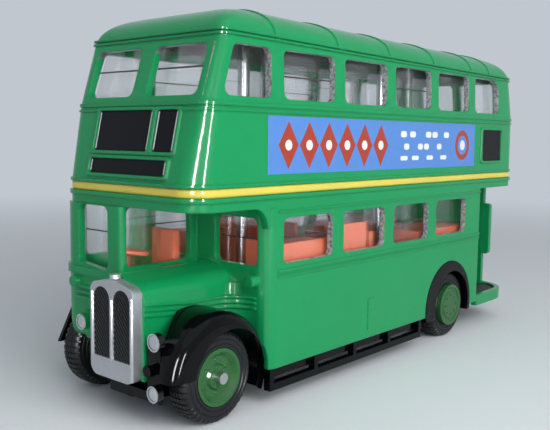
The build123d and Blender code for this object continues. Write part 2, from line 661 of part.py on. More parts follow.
def cab_panel(grow):
    """The cab's front panel below the shoulder, seen from the front, with a round lower corner."""
    low = CAB_SKIRT_Z - grow
    side = CAB_PANEL_Y - grow
    points = [(CAB_SIDE_Y, low), (CAB_SIDE_Y, cab_shoulder_z()), (side, cab_shoulder_z()), (side, low)]
    return outline(points, [0, 0, 0, CAB_SKIRT_CORNER])


def cab_plan(grow):
    """Plan of the driver's cab, grown outwards, up to the bulkhead."""
    corners = [
        (CAB_FRONT_X + grow, CAB_SIDE_Y + grow),
        (BULKHEAD_X - WALL / 2, CAB_SIDE_Y + grow),
        (BULKHEAD_X - WALL / 2, -HALF_WIDTH - grow),
        (CAB_FRONT_X + grow, -HALF_WIDTH - grow),
    ]
    return outline(corners, [max(CAB_POST_CORNER + grow, FIT), 0, 0, CAB_CORNER + grow])


def wing_room():
    """The space of both front wings inside the lower casting."""
    kerb = disc(WING_X, WING_Z, WING_RADIUS + FIT, (WING_INNER_Y - FIT, BODY_WIDTH))
    beside_panel = block((0, CAB_CORNER_X), FULL_WIDTH, (0, BAND_Z))
    beside_panel += block((0, FRONT_X), (-BODY_WIDTH, CAB_PANEL_Y), (0, BAND_Z))
    tyre_room = disc(FRONT_AXLE_X, AXLE_Z, TYRE_RADIUS + TYRE_ROOM, (-BODY_WIDTH, -WING_INNER_Y))
    return kerb + (right(kerb) & beside_panel) + tyre_room


def cab():
    """The driver's cab, hollow, with its windows, sill moulding, louvres and lamp bosses."""
    part = raised_from(cab_plan(0) - cab_plan(-WALL), (CAB_SKIRT_Z, CORNICE_Z))
    corner = block((CAB_CORNER_X, FRONT_X), (CAB_PANEL_Y, CAB_SIDE_Y), (0, cab_shoulder_z()))
    part -= corner - along(cab_panel(0), (CAB_CORNER_X, FRONT_X))
    hidden = (BULKHEAD_X - WALL, CAB_FRONT_X - WALL)
    part -= block(hidden, (-WING_INNER_Y, BODY_WIDTH), (0, cab_shoulder_z()))
    sill_top = SILL_Z - CAB_SILL_DROP
    ring = cab_plan(CAB_SILL_PROUD) - cab_plan(-WALL / 2)
    moulding = raised_from(ring, (sill_top - CAB_SILL_HEIGHT, sill_top))
    part += moulding & block((CAB_CORNER_X, FRONT_X), (-BODY_WIDTH, CAB_SIDE_Y - WALL), (0, BAND_Z))
    root = CAB_FRONT_X - WALL / 2
    outer_end = LOUVRE_INSET - HALF_WIDTH
    louvre_y = (outer_end, outer_end + LOUVRE_LENGTH)
    for index in range(LOUVRES):
        z = SILL_Z - LOUVRE_DROP + LOUVRE_PITCH * index
        part += block((root, CAB_FRONT_X + LOUVRE_PROUD), louvre_y, (z, z + LOUVRE_HEIGHT))
    boss, stand = CAB_LAMP_BOSS
    part += knob(CAB_LAMP_Y, CAB_LAMP_Z, CAB_LAMP_RADIUS + boss, (root, CAB_FRONT_X + stand))
    part += knob(SIDE_LAMP_INSET[0] - HALF_WIDTH, SILL_Z - SIDE_LAMP_DROP[0], SIDE_LAMP_RADIUS,
                 (root, CAB_FRONT_X + SIDE_LAMP_LENGTH / 2))
    low, high = WINDSCREEN_INSET - HALF_WIDTH, CAB_SIDE_Y - WINDSCREEN_POST
    bottom, top = CAB_PANE_Z
    screen = outline([(low, bottom), (low, top), (high, top), (high, bottom - WINDSCREEN_SLOPE)],
                     [WINDOW_ROUND, WINDOW_ROUND, WINDOW_ROUND, WINDOW_ROUND])
    part -= along(screen, (CAB_FRONT_X - 2 * WALL, FRONT_X))
    kerb = (BULKHEAD_X + CAB_REAR_POST, CAB_FRONT_X - WALL)
    part -= across(pane(kerb, CAB_PANE_Z, WINDOW_ROUND), (CAB_SIDE_Y - WALL, CAB_SIDE_Y + WALL))
    door = (BULKHEAD_X + CAB_REAR_POST, CAB_CORNER_X)
    return part - across(pane(door, CAB_PANE_Z, WINDOW_ROUND), (-BODY_WIDTH, 2 * WALL - HALF_WIDTH))


def bonnet_section(grow):
    """The bonnet seen from the front."""
    low, high = BONNET_Y
    points = [
        (low - grow, BONNET_SKIRT_Z),
        (low - grow, BONNET_SHOULDER_Z + grow),
        (BONNET_MIDDLE_Y, BONNET_RIDGE_Z + grow),
        (high + grow, BONNET_SHOULDER_Z + grow),
        (high + grow, BONNET_SKIRT_Z),
    ]
    shoulder = BONNET_ROUND + grow
    return outline(points, [0, shoulder, BONNET_ROUND, shoulder, 0])


def flare(radius, proud, z):
    """A hollow curve from the bonnet's side into the bulkhead."""
    start = (BULKHEAD_X - WALL / 2, BONNET_Y[1] - WALL)
    end = (BULKHEAD_X + radius, BONNET_Y[1] + radius)
    square = sharp([start, (end[0], start[1]), end, (start[0], end[1])])
    return raised_from(square - Pos(*end) * Circle(radius - proud), z)


def bonnet():
    """The bonnet, hollow below, with its ledge and the hollow curves that run into the bulkhead."""
    part = along(bonnet_section(0), (BULKHEAD_X - WALL / 2, BONNET_FRONT_X))
    part += flare(FLARE, 0, (BONNET_SKIRT_Z, LEDGE_Z))
    part += flare(UPPER_FLARE, 0, (LEDGE_Z, BONNET_SHOULDER_Z - BONNET_ROUND / 2))
    rear_x = BONNET_FRONT_X - LEDGE_LENGTH
    side = (BONNET_Y[1] - WALL / 2, BONNET_Y[1] + LEDGE_PROUD)
    for index in range(LEDGE_RIDGES):
        low = LEDGE_Z - LEDGE_PITCH * index - LEDGE_HEIGHT
        high = low + LEDGE_HEIGHT
        part += flare(FLARE, LEDGE_PROUD, (low, high))
        strip = sharp([(BULKHEAD_X + FLARE, low), (rear_x, low), (BONNET_FRONT_X, low + LEDGE_RISE),
                       (BONNET_FRONT_X, high + LEDGE_RISE), (rear_x, high), (BULKHEAD_X + FLARE, high)])
        part += across(strip, side)
    part -= along(bonnet_section(-WALL), (BULKHEAD_X, BONNET_FRONT_X - WALL))
    lamp_y = HALF_WIDTH - SIDE_LAMP_INSET[1]
    part += knob(lamp_y, SILL_Z - SIDE_LAMP_DROP[1], SIDE_LAMP_RADIUS,
                 (BULKHEAD_X - WALL / 2, BULKHEAD_X + SIDE_LAMP_LENGTH))
    bearing = AXLE_RADIUS + BEARING_WALL + FIT
    return part - disc(FRONT_AXLE_X, AXLE_Z, bearing, FULL_WIDTH)


def canopy_arch():
    """The curve from the canopy's side down into the corner post."""
    corner = (BULKHEAD_X - WALL / 2, CORNICE_Z + CANOPY_THICKNESS / 2)
    reach = BULKHEAD_X + CANOPY_ARCH
    drop = CORNICE_Z - CANOPY_ARCH
    square = sharp([corner, (reach, corner[1]), (reach, drop), (corner[0], drop)])
    web = square - Pos(reach, drop) * Circle(CANOPY_ARCH)
    return across(web, (HALF_WIDTH - WALL, HALF_WIDTH))


def filler_flap():
    """The small raised flap on the kerb side, with notches in its rear edge."""
    front = BULKHEAD_X - FLAP_SETBACK
    side = (HALF_WIDTH - WALL / 2, HALF_WIDTH + FLAP_PROUD)
    flap = block((front - FLAP_LENGTH, front), side, FLAP_Z)
    step = (FLAP_Z[1] - FLAP_Z[0]) / (FLAP_NOTCHES + 1)
    for index in range(FLAP_NOTCHES):
        z = FLAP_Z[0] + step * (index + 1)
        length, height = FLAP_NOTCH
        notch = (front - FLAP_LENGTH, front - FLAP_LENGTH + length)
        flap -= block(notch, (HALF_WIDTH, HALF_WIDTH + WALL), (z - height / 2, z + height / 2))
    return flap


def lower_shell():
    """Lower saloon, cab, bonnet and platform rim, one casting."""
    part = saloon() + cornice() + cab() + bonnet() + canopy_arch() + filler_flap()
    part -= block((BULKHEAD_X, CAB_FRONT_X - WALL), (BONNET_Y[0] - WALL, CAB_SIDE_Y - WALL),
                  (0, BONNET_SKIRT_Z))
    side = (HALF_WIDTH - WALL / 2, HALF_WIDTH + BEAD_PROUD)
    length = (PLATFORM_FRONT_X, BULKHEAD_X - LOWER_FRONT_CORNER)
    beads = ((SILL_Z, BEAD_HEIGHT), (SILL_Z - BEAD_STEP, THIN_BEAD), (CORNICE_Z - CANTRAIL_DROP, THIN_BEAD))
    for top, height in beads:
        part += both_sides(block(length, side, (top - height, top)))
    return part - wing_room()


def lower_glazing():
    """A clear moulding inside the lower windows, with a pane of its own at the rear."""
    gap = WALL + FIT
    z = (BULKHEAD_PANE_Z[0] - GLASS, CORNICE_Z - FIT)
    ring = raised_from(lower_plan(-gap) - lower_plan(-gap - GLASS), z)
    part = ring & block((PLATFORM_FRONT_X + gap, FRONT_X), FULL_WIDTH, z)
    low, high = lower_rear_pane_y()
    rear = LOWER_REAR_X + gap
    return part + block((rear, rear + GLASS), (low - GLASS / 2, high + GLASS), z)


def cab_glazing():
    """Flat clear panes inside the cab's windows."""
    z = (CAB_PANE_Z[0] - GLASS, CORNICE_Z - FIT)
    front = (CAB_FRONT_X - WALL - FIT - GLASS, CAB_FRONT_X - WALL - FIT)
    kerb = CAB_SIDE_Y - WALL - FIT
    screen_y = (WINDSCREEN_INSET - HALF_WIDTH - GLASS, CAB_SIDE_Y - WINDSCREEN_POST + GLASS)
    screen = block(front, screen_y, (z[0] - WINDSCREEN_SLOPE, z[1]))
    kerb_pane = block((BULKHEAD_X + FIT, front[0] - FIT), (kerb - GLASS, kerb), z)
    road = WALL + FIT - HALF_WIDTH
    door_length = (BULKHEAD_X + FIT, CAB_CORNER_X + FIT)
    return screen + kerb_pane + block(door_length, (road, road + GLASS), z)


def stair_x():
    """The x limits of the staircase, on the offside of the platform."""
    return (LOWER_REAR_X + WALL + GLASS + STAIR_SETBACK, PLATFORM_FRONT_X - FIT)


def stair_y():
    """The y limits of the staircase."""
    side = WALL + FIT - HALF_WIDTH
    return (side, side + STAIR_WIDTH)


def staircase():
    """Steps that climb forwards from the platform, with the panel beside them."""
    rear, front = stair_x()
    low, high = stair_y()
    floor = PLATFORM_Z[1] - PLATFORM_SINK
    going = (front - rear) / STAIRS
    rise = (STAIR_TOP_Z - floor) / STAIRS
    points = [(front, floor), (front, STAIR_TOP_Z)]
    for step in range(STAIRS, 0, -1):
        x = rear + going * (step - 1)
        points.append((x, floor + rise * step))
        points.append((x, floor + rise * (step - 1)))
    steps = across(sharp(points[:-1]), (low, high))
    panel = outline([(rear, floor), (rear, (floor + STAIR_TOP_Z) / 2), (front, STAIR_TOP_Z), (front, floor)],
                    [0, WINDOW_ROUND, 0, 0])
    part = steps + across(panel, (high - STAIR_SPINE, high))
    return part & raised_from(lower_plan(-WALL - FIT), (floor, CORNICE_Z))


def platform_floor():
    """The floor inside the platform's rim."""
    top = PLATFORM_Z[1] - PLATFORM_SINK
    floor = raised_from(lower_plan(-WALL - FIT), (top - PLATFORM_FLOOR, top))
    return floor & block((REAR_X, PLATFORM_FRONT_X - FIT), FULL_WIDTH, (0, BAND_Z))


def seat_row(x, floor_z, back_z):
    """A bench facing forwards on each side of the gangway."""
    cushion = block((x, x + SEAT_DEPTH), SEAT_Y, (floor_z - FLOOR / 2, floor_z + SEAT_HEIGHT))
    back = block((x - SEAT_BACK, x + FIT), SEAT_Y, (floor_z - FLOOR / 2, back_z))
    return both_sides(cushion + back)


def post_holes(z):
    """Clearance holes for the assembly posts."""
    return [Pos(x, 0, (z[0] + z[1]) / 2) * Cylinder(POST_RADIUS + FIT, z[1] - z[0]) for x in POSTS_X]


def side_trims(length):
    """The panels between the lower seats' ends and the glass in the first two bays."""
    y = (SEAT_Y[1] - TRIM_Y[0], SEAT_Y[1] + TRIM_Y[1])
    bottom = LOWER_FLOOR_Z - FLOOR / 2
    first = block((PILLARS_X[1], length[1] - GLASS - FIT), y, (bottom, SILL_Z + TRIM_RISES[0]))
    second = block((PILLARS_X[1] - TRIM_LENGTH, PILLARS_X[1]), y, (bottom, SILL_Z + TRIM_RISES[1]))
    return both_sides(first + second)


def lower_deck_seats():
    """Floor, seats and side trim of the lower saloon, one moulding."""
    length = (PLATFORM_FRONT_X + WALL + FIT, BULKHEAD_X - LOWER_FRONT_CORNER)
    inside = HALF_WIDTH - WALL - FIT
    part = block(length, (-inside, inside), (LOWER_FLOOR_Z - FLOOR, LOWER_FLOOR_Z))
    first = length[1] - SEAT_DEPTH
    for row in range(LOWER_ROWS):
        part += seat_row(first - SEAT_PITCH * row, LOWER_FLOOR_Z, LOWER_BACK_Z)
    bench = (length[0], REAR_ARCH_X + REAR_ARCH_RADIUS)
    part += both_sides(block(bench, SEAT_Y, (LOWER_FLOOR_Z - FLOOR / 2, SILL_Z + BENCH_RISE)))
    part += side_trims(length)
    tunnel = disc(REAR_ARCH_X, AXLE_Z, REAR_ARCH_RADIUS + FIT, (LINER_INNER_Y - FIT, BODY_WIDTH))
    part -= both_sides(tunnel)
    return part - post_holes((0, BAND_Z))


def upper_deck_seats():
    """Floor and seats of the upper saloon, one moulding with the stairwell cut."""
    part = raised_from(band_plan(-WALL - FIT), (UPPER_FLOOR_Z - FLOOR, UPPER_FLOOR_Z))
    front_row = PILLARS_X[0] + SEAT_DEPTH / 2
    for row in range(UPPER_ROWS):
        part += seat_row(front_row - SEAT_PITCH * row, UPPER_FLOOR_Z, UPPER_BACK_Z)
    part -= block(stair_x(), stair_y(), (0, UPPER_BACK_Z))
    return part - post_holes((0, GUTTER_Z))


def driver_seat():
    """The driver's seat on a pedestal that stands on the base."""
    cushion_top = LOWER_FLOOR_Z + SEAT_HEIGHT + WALL
    cushion = block((DRIVER_X, DRIVER_X + DRIVER_DEPTH), DRIVER_Y, (BASE_Z[1], cushion_top))
    back = block((DRIVER_X - SEAT_BACK, DRIVER_X + FIT), DRIVER_Y, (BASE_Z[1], SILL_Z + DRIVER_BACK_RISE))
    return cushion + back


def steering_wheel():
    """A flat wheel on a raked column."""
    rim = Torus(WHEEL_RIM_RADIUS, WHEEL_RIM_TUBE) + Box(2 * WHEEL_RIM_RADIUS, WHEEL_RIM_TUBE, WHEEL_RIM_TUBE)
    column = Pos(0, 0, -STEER_Z / 2) * Cylinder(1.5 * WHEEL_RIM_TUBE, STEER_Z)
    place = Pos(BULKHEAD_X + STEER_AHEAD, STEER_Y, STEER_Z) * Rot(0, -STEER_RAKE, 0)
    above_base = block((BULKHEAD_X, FRONT_X), FULL_WIDTH, (BASE_Z[1], BAND_Z))
    return (place * (rim + column)) & above_base


def chassis_base():
    """The moulded base with axle bearings, sump, outriggers, life rails and lamp posts."""
    front = BONNET_FRONT_X - BASE_FRONT_GAP
    rear = PLATFORM_FRONT_X + WALL + FIT
    part = block((rear, front), (-BASE_HALF, BASE_HALF), BASE_Z)
    wide = (REAR_ARCH_X + REAR_ARCH_RADIUS + WALL, WING_X - WING_RADIUS - RAIL_GAP)
    inside = HALF_WIDTH - WALL - FIT
    part += block(wide, (-inside, inside), BASE_Z)
    cab_front = CAB_FRONT_X - WALL - FIT
    part += block((wide[1] - WALL, cab_front), (WALL - WING_INNER_Y, BASE_HALF), BASE_Z)
    part += block((front - SUMP_LENGTH, front), (-SUMP_HALF, SUMP_HALF), (SUMP_Z, BASE_Z[1]))
    bearing = (-BEARING_HALF, BEARING_HALF)
    for axle_x in (FRONT_AXLE_X, REAR_AXLE_X):
        radius = AXLE_RADIUS + BEARING_WALL
        part += disc(axle_x, AXLE_Z, radius, bearing)
        part += block((axle_x - radius, axle_x + radius), bearing, (BASE_Z[0], AXLE_Z))
        part -= disc(axle_x, AXLE_Z, AXLE_RADIUS + AXLE_PLAY, FULL_WIDTH)
    rail = block(wide, RAIL_Y, RAIL_Z)
    pitch = (wide[1] - wide[0] - RAIL_POST) / (RAIL_POSTS - 1)
    for index in range(RAIL_POSTS):
        x = wide[0] + pitch * index
        rail += block((x, x + RAIL_POST), RAIL_Y, (RAIL_Z[0], SKIRT_Z - FIT))
        rail += block((x, x + RAIL_POST), (inside - OUTRIGGER, RAIL_Y[1]), BASE_Z)
    part += both_sides(rail)
    boss_top = LOWER_FLOOR_Z - FLOOR - FIT
    boss_height = PLINTH_HOLE_DEPTH + PLINTH_HOLE_ROOF
    for x in POSTS_X:
        part += Pos(x, 0, (BASE_Z[0] + boss_top) / 2) * Cylinder(BOSS_RADIUS, boss_top - BASE_Z[0])
        hole_x = x - PLINTH_HOLE_OFFSET
        part += Pos(hole_x, 0, BASE_Z[0] + boss_height / 2) * Cylinder(BOSS_RADIUS, boss_height)
    bracket = (LAMP_X - LAMP_DEPTH - BRACKET_THICKNESS, LAMP_X - LAMP_DEPTH)
    bracket_top = max(row[2] for row in LAMPS)
    part += block(bracket, BRACKET_Y, (BASE_Z[0], bracket_top))
    part += block((front - SUMP_HALF, bracket[1]), (0, BRACKET_Y[0] + BRACKET_THICKNESS), BASE_Z)
    for x in POSTS_X:
        part -= Pos(x, 0, LOWER_FLOOR_Z) * Cylinder(SCREW_RADIUS + FIT, 4 * LOWER_FLOOR_Z)
        hole = Cylinder(PLINTH_HOLE_RADIUS, 2 * PLINTH_HOLE_DEPTH)
        part -= Pos(x - PLINTH_HOLE_OFFSET, 0, BASE_Z[0]) * hole
    return part


def assembly_posts():
    """Cast posts between the base and the roof, one at each end of the saloon."""
    low = LOWER_FLOOR_Z - FLOOR
    posts = Part()
    for x in POSTS_X:
        high = GUTTER_Z + ROOF_RISE - WALL + (x - POST_RADIUS) * tan(radians(ROOF_FALL)) - FIT
        posts += Pos(x, 0, (low + high) / 2) * Cylinder(POST_RADIUS, high - low)
    return posts


def base_screws():
    """The screws that hold the base to the posts."""
    length = LOWER_FLOOR_Z - FLOOR - BASE_Z[0] - FIT
    screws = Part()
    for x in POSTS_X:
        screws += Pos(x, 0, BASE_Z[0] - SCREW_HEAD_HEIGHT / 2) * Cylinder(SCREW_HEAD, SCREW_HEAD_HEIGHT)
        screws += Pos(x, 0, BASE_Z[0] + length / 2) * Cylinder(SCREW_RADIUS, length)
    return screws


def front_wing():
    """The left front wing: a turned skin with an outer flange, cut off above the road."""
    skin_inner = WING_RADIUS - WING_SKIN
    flange_inner = WING_OPENING - WING_OPENING_SHIFT - FIT
    outer_y = HALF_WIDTH
    inner_y = HALF_WIDTH - WING_FLANGE
    points = [
        (skin_inner, WING_INNER_Y),
        (WING_RADIUS, WING_INNER_Y),
        (WING_RADIUS, outer_y),
        (flange_inner, outer_y),
        (flange_inner, inner_y),
        (skin_inner, inner_y),
    ]
    section = outline(points, [0, 0, WING_ROUND, 0, 0, WING_ROUND - WING_SKIN])
    ring = turned(section, WING_X, WING_Z)
    ring -= disc(WING_X - WING_OPENING_SHIFT, WING_Z, WING_OPENING, (0, BODY_WIDTH))
    behind = (WING_X - 2 * WING_RADIUS, WING_X)
    ahead = (WING_X, WING_X + 2 * WING_RADIUS)
    kerb = (0, BODY_WIDTH)
    wing = ring & (block(behind, kerb, (WING_REAR_Z, BAND_Z)) + block(ahead, kerb, (WING_FRONT_Z, BAND_Z)))
    start = WING_X + WING_NOSE[0]
    end = WING_X + WING_RADIUS
    nose = sharp([(start, 0), (start, WING_INNER_Y), (end, WING_INNER_Y + WING_NOSE[1]), (end, 0)])
    return wing - raised_from(nose, (0, BAND_Z))


def right_wing(wing):
    """The offside wing, cut short round the cab's front panel."""
    part = right(wing) - along(cab_panel(FIT), (CAB_CORNER_X - FIT, FRONT_X))
    foot = CAB_FRONT_X + OFFSIDE_NOSE
    lean = (BAND_Z - WING_FRONT_Z) * tan(radians(OFFSIDE_LEAN))
    ahead = sharp([(foot, WING_FRONT_Z), (foot - lean, BAND_Z), (FRONT_X, BAND_Z), (FRONT_X, WING_FRONT_Z)])
    return part - across(ahead, (-BODY_WIDTH, 0))


def rear_arch():
    """The left rear wheel arch liner, a moulded half drum with a flange round the opening."""
    outer = REAR_ARCH_RADIUS - FIT
    face_y = HALF_WIDTH + LINER_PROUD
    drum = disc(REAR_ARCH_X, AXLE_Z, outer, (LINER_INNER_Y, face_y))
    drum -= disc(REAR_ARCH_X, AXLE_Z, outer - LINER_SKIN, (LINER_INNER_Y, HALF_WIDTH - WALL))
    drum -= disc(REAR_AXLE_X, AXLE_Z, REAR_OPENING, (LINER_INNER_Y, face_y))
    limits = (REAR_ARCH_X - outer, REAR_ARCH_X + outer)
    return drum & block(limits, (0, BODY_WIDTH), (PLATFORM_Z[0], BAND_Z))


def radiator_section():
    """The radiator seen from the front, with a peaked top."""
    low, high = RADIATOR_Y
    bottom, shoulder = RADIATOR_Z
    points = [
        (low, bottom),
        (low, shoulder),
        ((low + high) / 2, shoulder + RADIATOR_RISE),
        (high, shoulder),
        (high, bottom),
    ]
    corner = RADIATOR_ROUND
    return outline(points, [corner, corner, corner, corner, corner])


def grille_panels():
    """The two arched openings of the radiator, seen from the front."""
    low, high = RADIATOR_Y
    middle = (low + high) / 2
    panels = Sketch()
    offside = (low + GRILLE_MARGIN, middle - GRILLE_RIB / 2)
    kerb = (middle + GRILLE_RIB / 2, high - GRILLE_MARGIN)
    for edges in (offside, kerb):
        width = edges[1] - edges[0]
        top = RADIATOR_Z[1] - GRILLE_MARGIN / 2
        arch = width / 2 - FIT
        points = [(edges[0], GRILLE_Z), (edges[0], top), (edges[1], top), (edges[1], GRILLE_Z)]
        panels += outline(points, [0, arch, arch, 0])
    return panels


def radiator_shell():
    """The radiator's cast shell with its two openings."""
    part = along(radiator_section(), (BONNET_FRONT_X, FRONT_X))
    return part - along(grille_panels(), (FRONT_X - GRILLE_DEPTH, FRONT_X))


def radiator_grille():
    """The dark mesh in the radiator's openings."""
    return along(grille_panels(), (FRONT_X - GRILLE_DEPTH, FRONT_X - GRILLE_DEPTH / 2))


def filler_cap():
    """The cap on the radiator's peak."""
    bottom = RADIATOR_Z[1] + RADIATOR_RISE
    middle = (RADIATOR_Y[0] + RADIATOR_Y[1]) / 2
    x = FRONT_X - RADIATOR_DEPTH / 2
    return Pos(x, middle, bottom + CAP_HEIGHT / 2) * Cylinder(CAP_RADIUS, CAP_HEIGHT)


def lamp(y, z, radius, back_x):
    """A round lamp on the face at back_x, with a rim round its lens."""
    face = back_x + LAMP_DEPTH
    part = knob(y, z, radius, (back_x, face))
    return part - knob(y, z, radius - LAMP_RIM, (face - LAMP_LENS, face))


def horn():
    """The small round horn below the left headlamp."""
    return knob(WING_INNER_Y + HORN_INSET, HORN_Z, HORN_RADIUS, (LAMP_X - LAMP_DEPTH, LAMP_X))


def tyre(x, outer_y):
    """A tyre with rounded shoulders."""
    inner_y = outer_y - TYRE_WIDTH
    points = [(HUB_RADIUS, inner_y), (TYRE_RADIUS, inner_y), (TYRE_RADIUS, outer_y), (HUB_RADIUS, outer_y)]
    return turned(outline(points, [0, TYRE_SHOULDER, TYRE_SHOULDER, 0]), x, AXLE_Z)


def front_hub():
    """The left front wheel centre: a dish with a boss round the axle's end."""
    floor = TYRE_FACE_Y - FRONT_DISH
    boss = floor + FRONT_BOSS_RISE
    points = [
        (AXLE_RADIUS, TYRE_INNER_Y),
        (HUB_RADIUS, TYRE_INNER_Y),
        (HUB_RADIUS, TYRE_FACE_Y),
        (HUB_RADIUS - HUB_RIM, TYRE_FACE_Y),
        (FRONT_DISH_RADIUS, floor),
        (FRONT_BOSS_RADIUS + HUB_SLOPE, floor),
        (FRONT_BOSS_RADIUS, boss),
        (AXLE_RADIUS, boss),
    ]
    return turned(sharp(points), FRONT_AXLE_X, AXLE_Z)


def rear_hub():
    """The left rear wheel centre: a flat disc with a ring groove, closed over the axle's end."""
    face = TYRE_FACE_Y + REAR_HUB_STEP
    floor = face - REAR_GROOVE
    rim = HUB_RADIUS - HUB_RIM
    points = [
        (AXLE_RADIUS, TWIN_INNER_Y),
        (HUB_RADIUS, TWIN_INNER_Y),
        (HUB_RADIUS, face),
        (rim, face),
        (rim - HUB_SLOPE, floor),
        (REAR_CENTRE_RADIUS + HUB_SLOPE, floor),
        (REAR_CENTRE_RADIUS, face),
        (0, face),
        (0, face - REAR_CAP),
        (AXLE_RADIUS, face - REAR_CAP),
    ]
    return turned(sharp(points), REAR_AXLE_X, AXLE_Z)


def axle(x, half_length):
    """A plain steel axle."""
    return disc(x, AXLE_Z, AXLE_RADIUS, (-half_length, half_length))


def wheels():
    """Tyres, hubs and axles of both wheel sets."""
    front_tyre = tyre(FRONT_AXLE_X, TYRE_FACE_Y)
    rear_outer = tyre(REAR_AXLE_X, TYRE_FACE_Y)
    rear_inner = tyre(REAR_AXLE_X, TWIN_FACE_Y)
    return {
        "front_axle": axle(FRONT_AXLE_X, TYRE_FACE_Y + AXLE_NUB),
        "front_hub_left": front_hub(),
        "front_hub_right": right(front_hub()),
        "front_tyre_left": front_tyre,
        "front_tyre_right": right(front_tyre),
        "rear_axle": axle(REAR_AXLE_X, TYRE_FACE_Y + REAR_HUB_STEP - REAR_CAP),
        "rear_hub_left": rear_hub(),
        "rear_hub_right": right(rear_hub()),
        "rear_tyre_left_outer": rear_outer,
        "rear_tyre_left_inner": rear_inner,
        "rear_tyre_right_outer": right(rear_outer),
        "rear_tyre_right_inner": right(rear_inner),
    }


def nodes():
    """Every piece of the model by name."""
    wing = front_wing()
    arch = rear_arch()
    front_blinds, side_blind = blind_plates()
    pieces = {
        "upper_shell": upper_shell(),
        "waist_band": waist_band(),
        "lower_shell": lower_shell(),
        "front_blinds": front_blinds,
        "side_blind": side_blind,
        "upper_glazing": upper_glazing(),
        "lower_glazing": lower_glazing(),
        "cab_glazing": cab_glazing(),
        "upper_deck_seats": upper_deck_seats(),
        "lower_deck_seats": lower_deck_seats(),
        "driver_seat": driver_seat(),
        "steering_wheel": steering_wheel(),
        "staircase": staircase(),
        "platform_floor": platform_floor(),
        "chassis_base": chassis_base(),
        "assembly_posts": assembly_posts(),
        "base_screws": base_screws(),
        "front_wing_left": wing,
        "front_wing_right": right_wing(wing),
        "rear_arch_left": arch,
        "rear_arch_right": right(arch),
        "radiator_shell": radiator_shell(),
        "radiator_grille": radiator_grille(),
        "filler_cap": filler_cap(),
        "horn": horn(),
    }
    for name, y, z, radius in LAMPS:
        pieces[name] = lamp(y, z, radius, LAMP_X - LAMP_DEPTH)
    pieces["headlamp_right"] = lamp(CAB_LAMP_Y, CAB_LAMP_Z, CAB_LAMP_RADIUS, CAB_FRONT_X + CAB_LAMP_BOSS[1])
    pieces.update(wheels())
    return pieces


os.makedirs("parts", exist_ok=True)
for node, shape in nodes().items():
    export_step(shape, f"parts/{node}.step")
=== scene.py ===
"""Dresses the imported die-cast double decker bus: paint, prints, bars, tyres, lamps and a studio stage."""
import math

import bpy
import bmesh
from mathutils import Matrix, Vector
from mathutils.bvhtree import BVHTree


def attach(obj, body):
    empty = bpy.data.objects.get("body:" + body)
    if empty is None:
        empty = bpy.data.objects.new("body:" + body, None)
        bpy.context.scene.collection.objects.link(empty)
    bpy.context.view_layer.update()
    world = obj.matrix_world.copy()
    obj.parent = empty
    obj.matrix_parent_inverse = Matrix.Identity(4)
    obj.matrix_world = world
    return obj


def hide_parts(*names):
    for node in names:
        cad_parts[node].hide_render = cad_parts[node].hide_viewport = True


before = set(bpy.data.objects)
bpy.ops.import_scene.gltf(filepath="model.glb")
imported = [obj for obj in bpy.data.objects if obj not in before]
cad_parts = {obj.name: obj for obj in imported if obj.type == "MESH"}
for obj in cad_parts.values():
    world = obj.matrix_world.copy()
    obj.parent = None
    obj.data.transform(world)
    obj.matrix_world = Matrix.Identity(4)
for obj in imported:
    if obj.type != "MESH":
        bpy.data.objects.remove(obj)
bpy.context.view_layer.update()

bl_info = {
    "name": "Die-cast double decker bus",
    "version": (1, 0, 0),
    "blender": (4, 5, 0),
    "location": "View3D > Sidebar > Bus",
    "description": "Finishes a die-cast half-cab double decker bus and sets up its studio",
    "category": "Object",
}

MM = 0.001
BODY = "body"
SIDES = {"left": 1, "right": -1}
FORWARD = (1, 0, 0)
AFT = (-1, 0, 0)
LEFT = (0, 1, 0)
UP = (0, 0, 1)
# Where a ray that looks for a surface starts, in mm
LOOK_FROM_SIDE = 40.0
LOOK_FROM_FRONT = 80.0
# How far a piece sinks into what carries it, and the core left in a turned piece, in mm
SINK = 0.02
THREAD = 0.02


class BusSizes(bpy.types.PropertyGroup):
    """Sizes of the pieces that are added to the castings."""

    edge_round: bpy.props.FloatProperty(
        name="Paint edge", description="How far paint rounds the edges of the castings",
        default=0.32 * MM, unit="LENGTH", precision=6)
    print_lift: bpy.props.FloatProperty(
        name="Print lift", description="How far a printed film stands off the paint",
        default=0.03 * MM, unit="LENGTH", precision=6)
    bar_width: bpy.props.FloatProperty(
        name="Window bar", description="Height of the bars moulded across the opening windows",
        default=0.22 * MM, unit="LENGTH", precision=6)
    mesh_pitch: bpy.props.FloatProperty(
        name="Grille pitch", description="Distance between the wires of the radiator mesh",
        default=0.62 * MM, unit="LENGTH", precision=6)
    mesh_wire: bpy.props.FloatProperty(
        name="Grille wire", description="Width of a wire of the radiator mesh",
        default=0.2 * MM, unit="LENGTH", precision=6)
    tread_depth: bpy.props.FloatProperty(
        name="Tread depth", description="Depth of the grooves in the tyres",
        default=0.22 * MM, unit="LENGTH", precision=6)
    tread_blocks: bpy.props.IntProperty(
        name="Tread blocks", description="Blocks round one tyre", default=44, min=12)


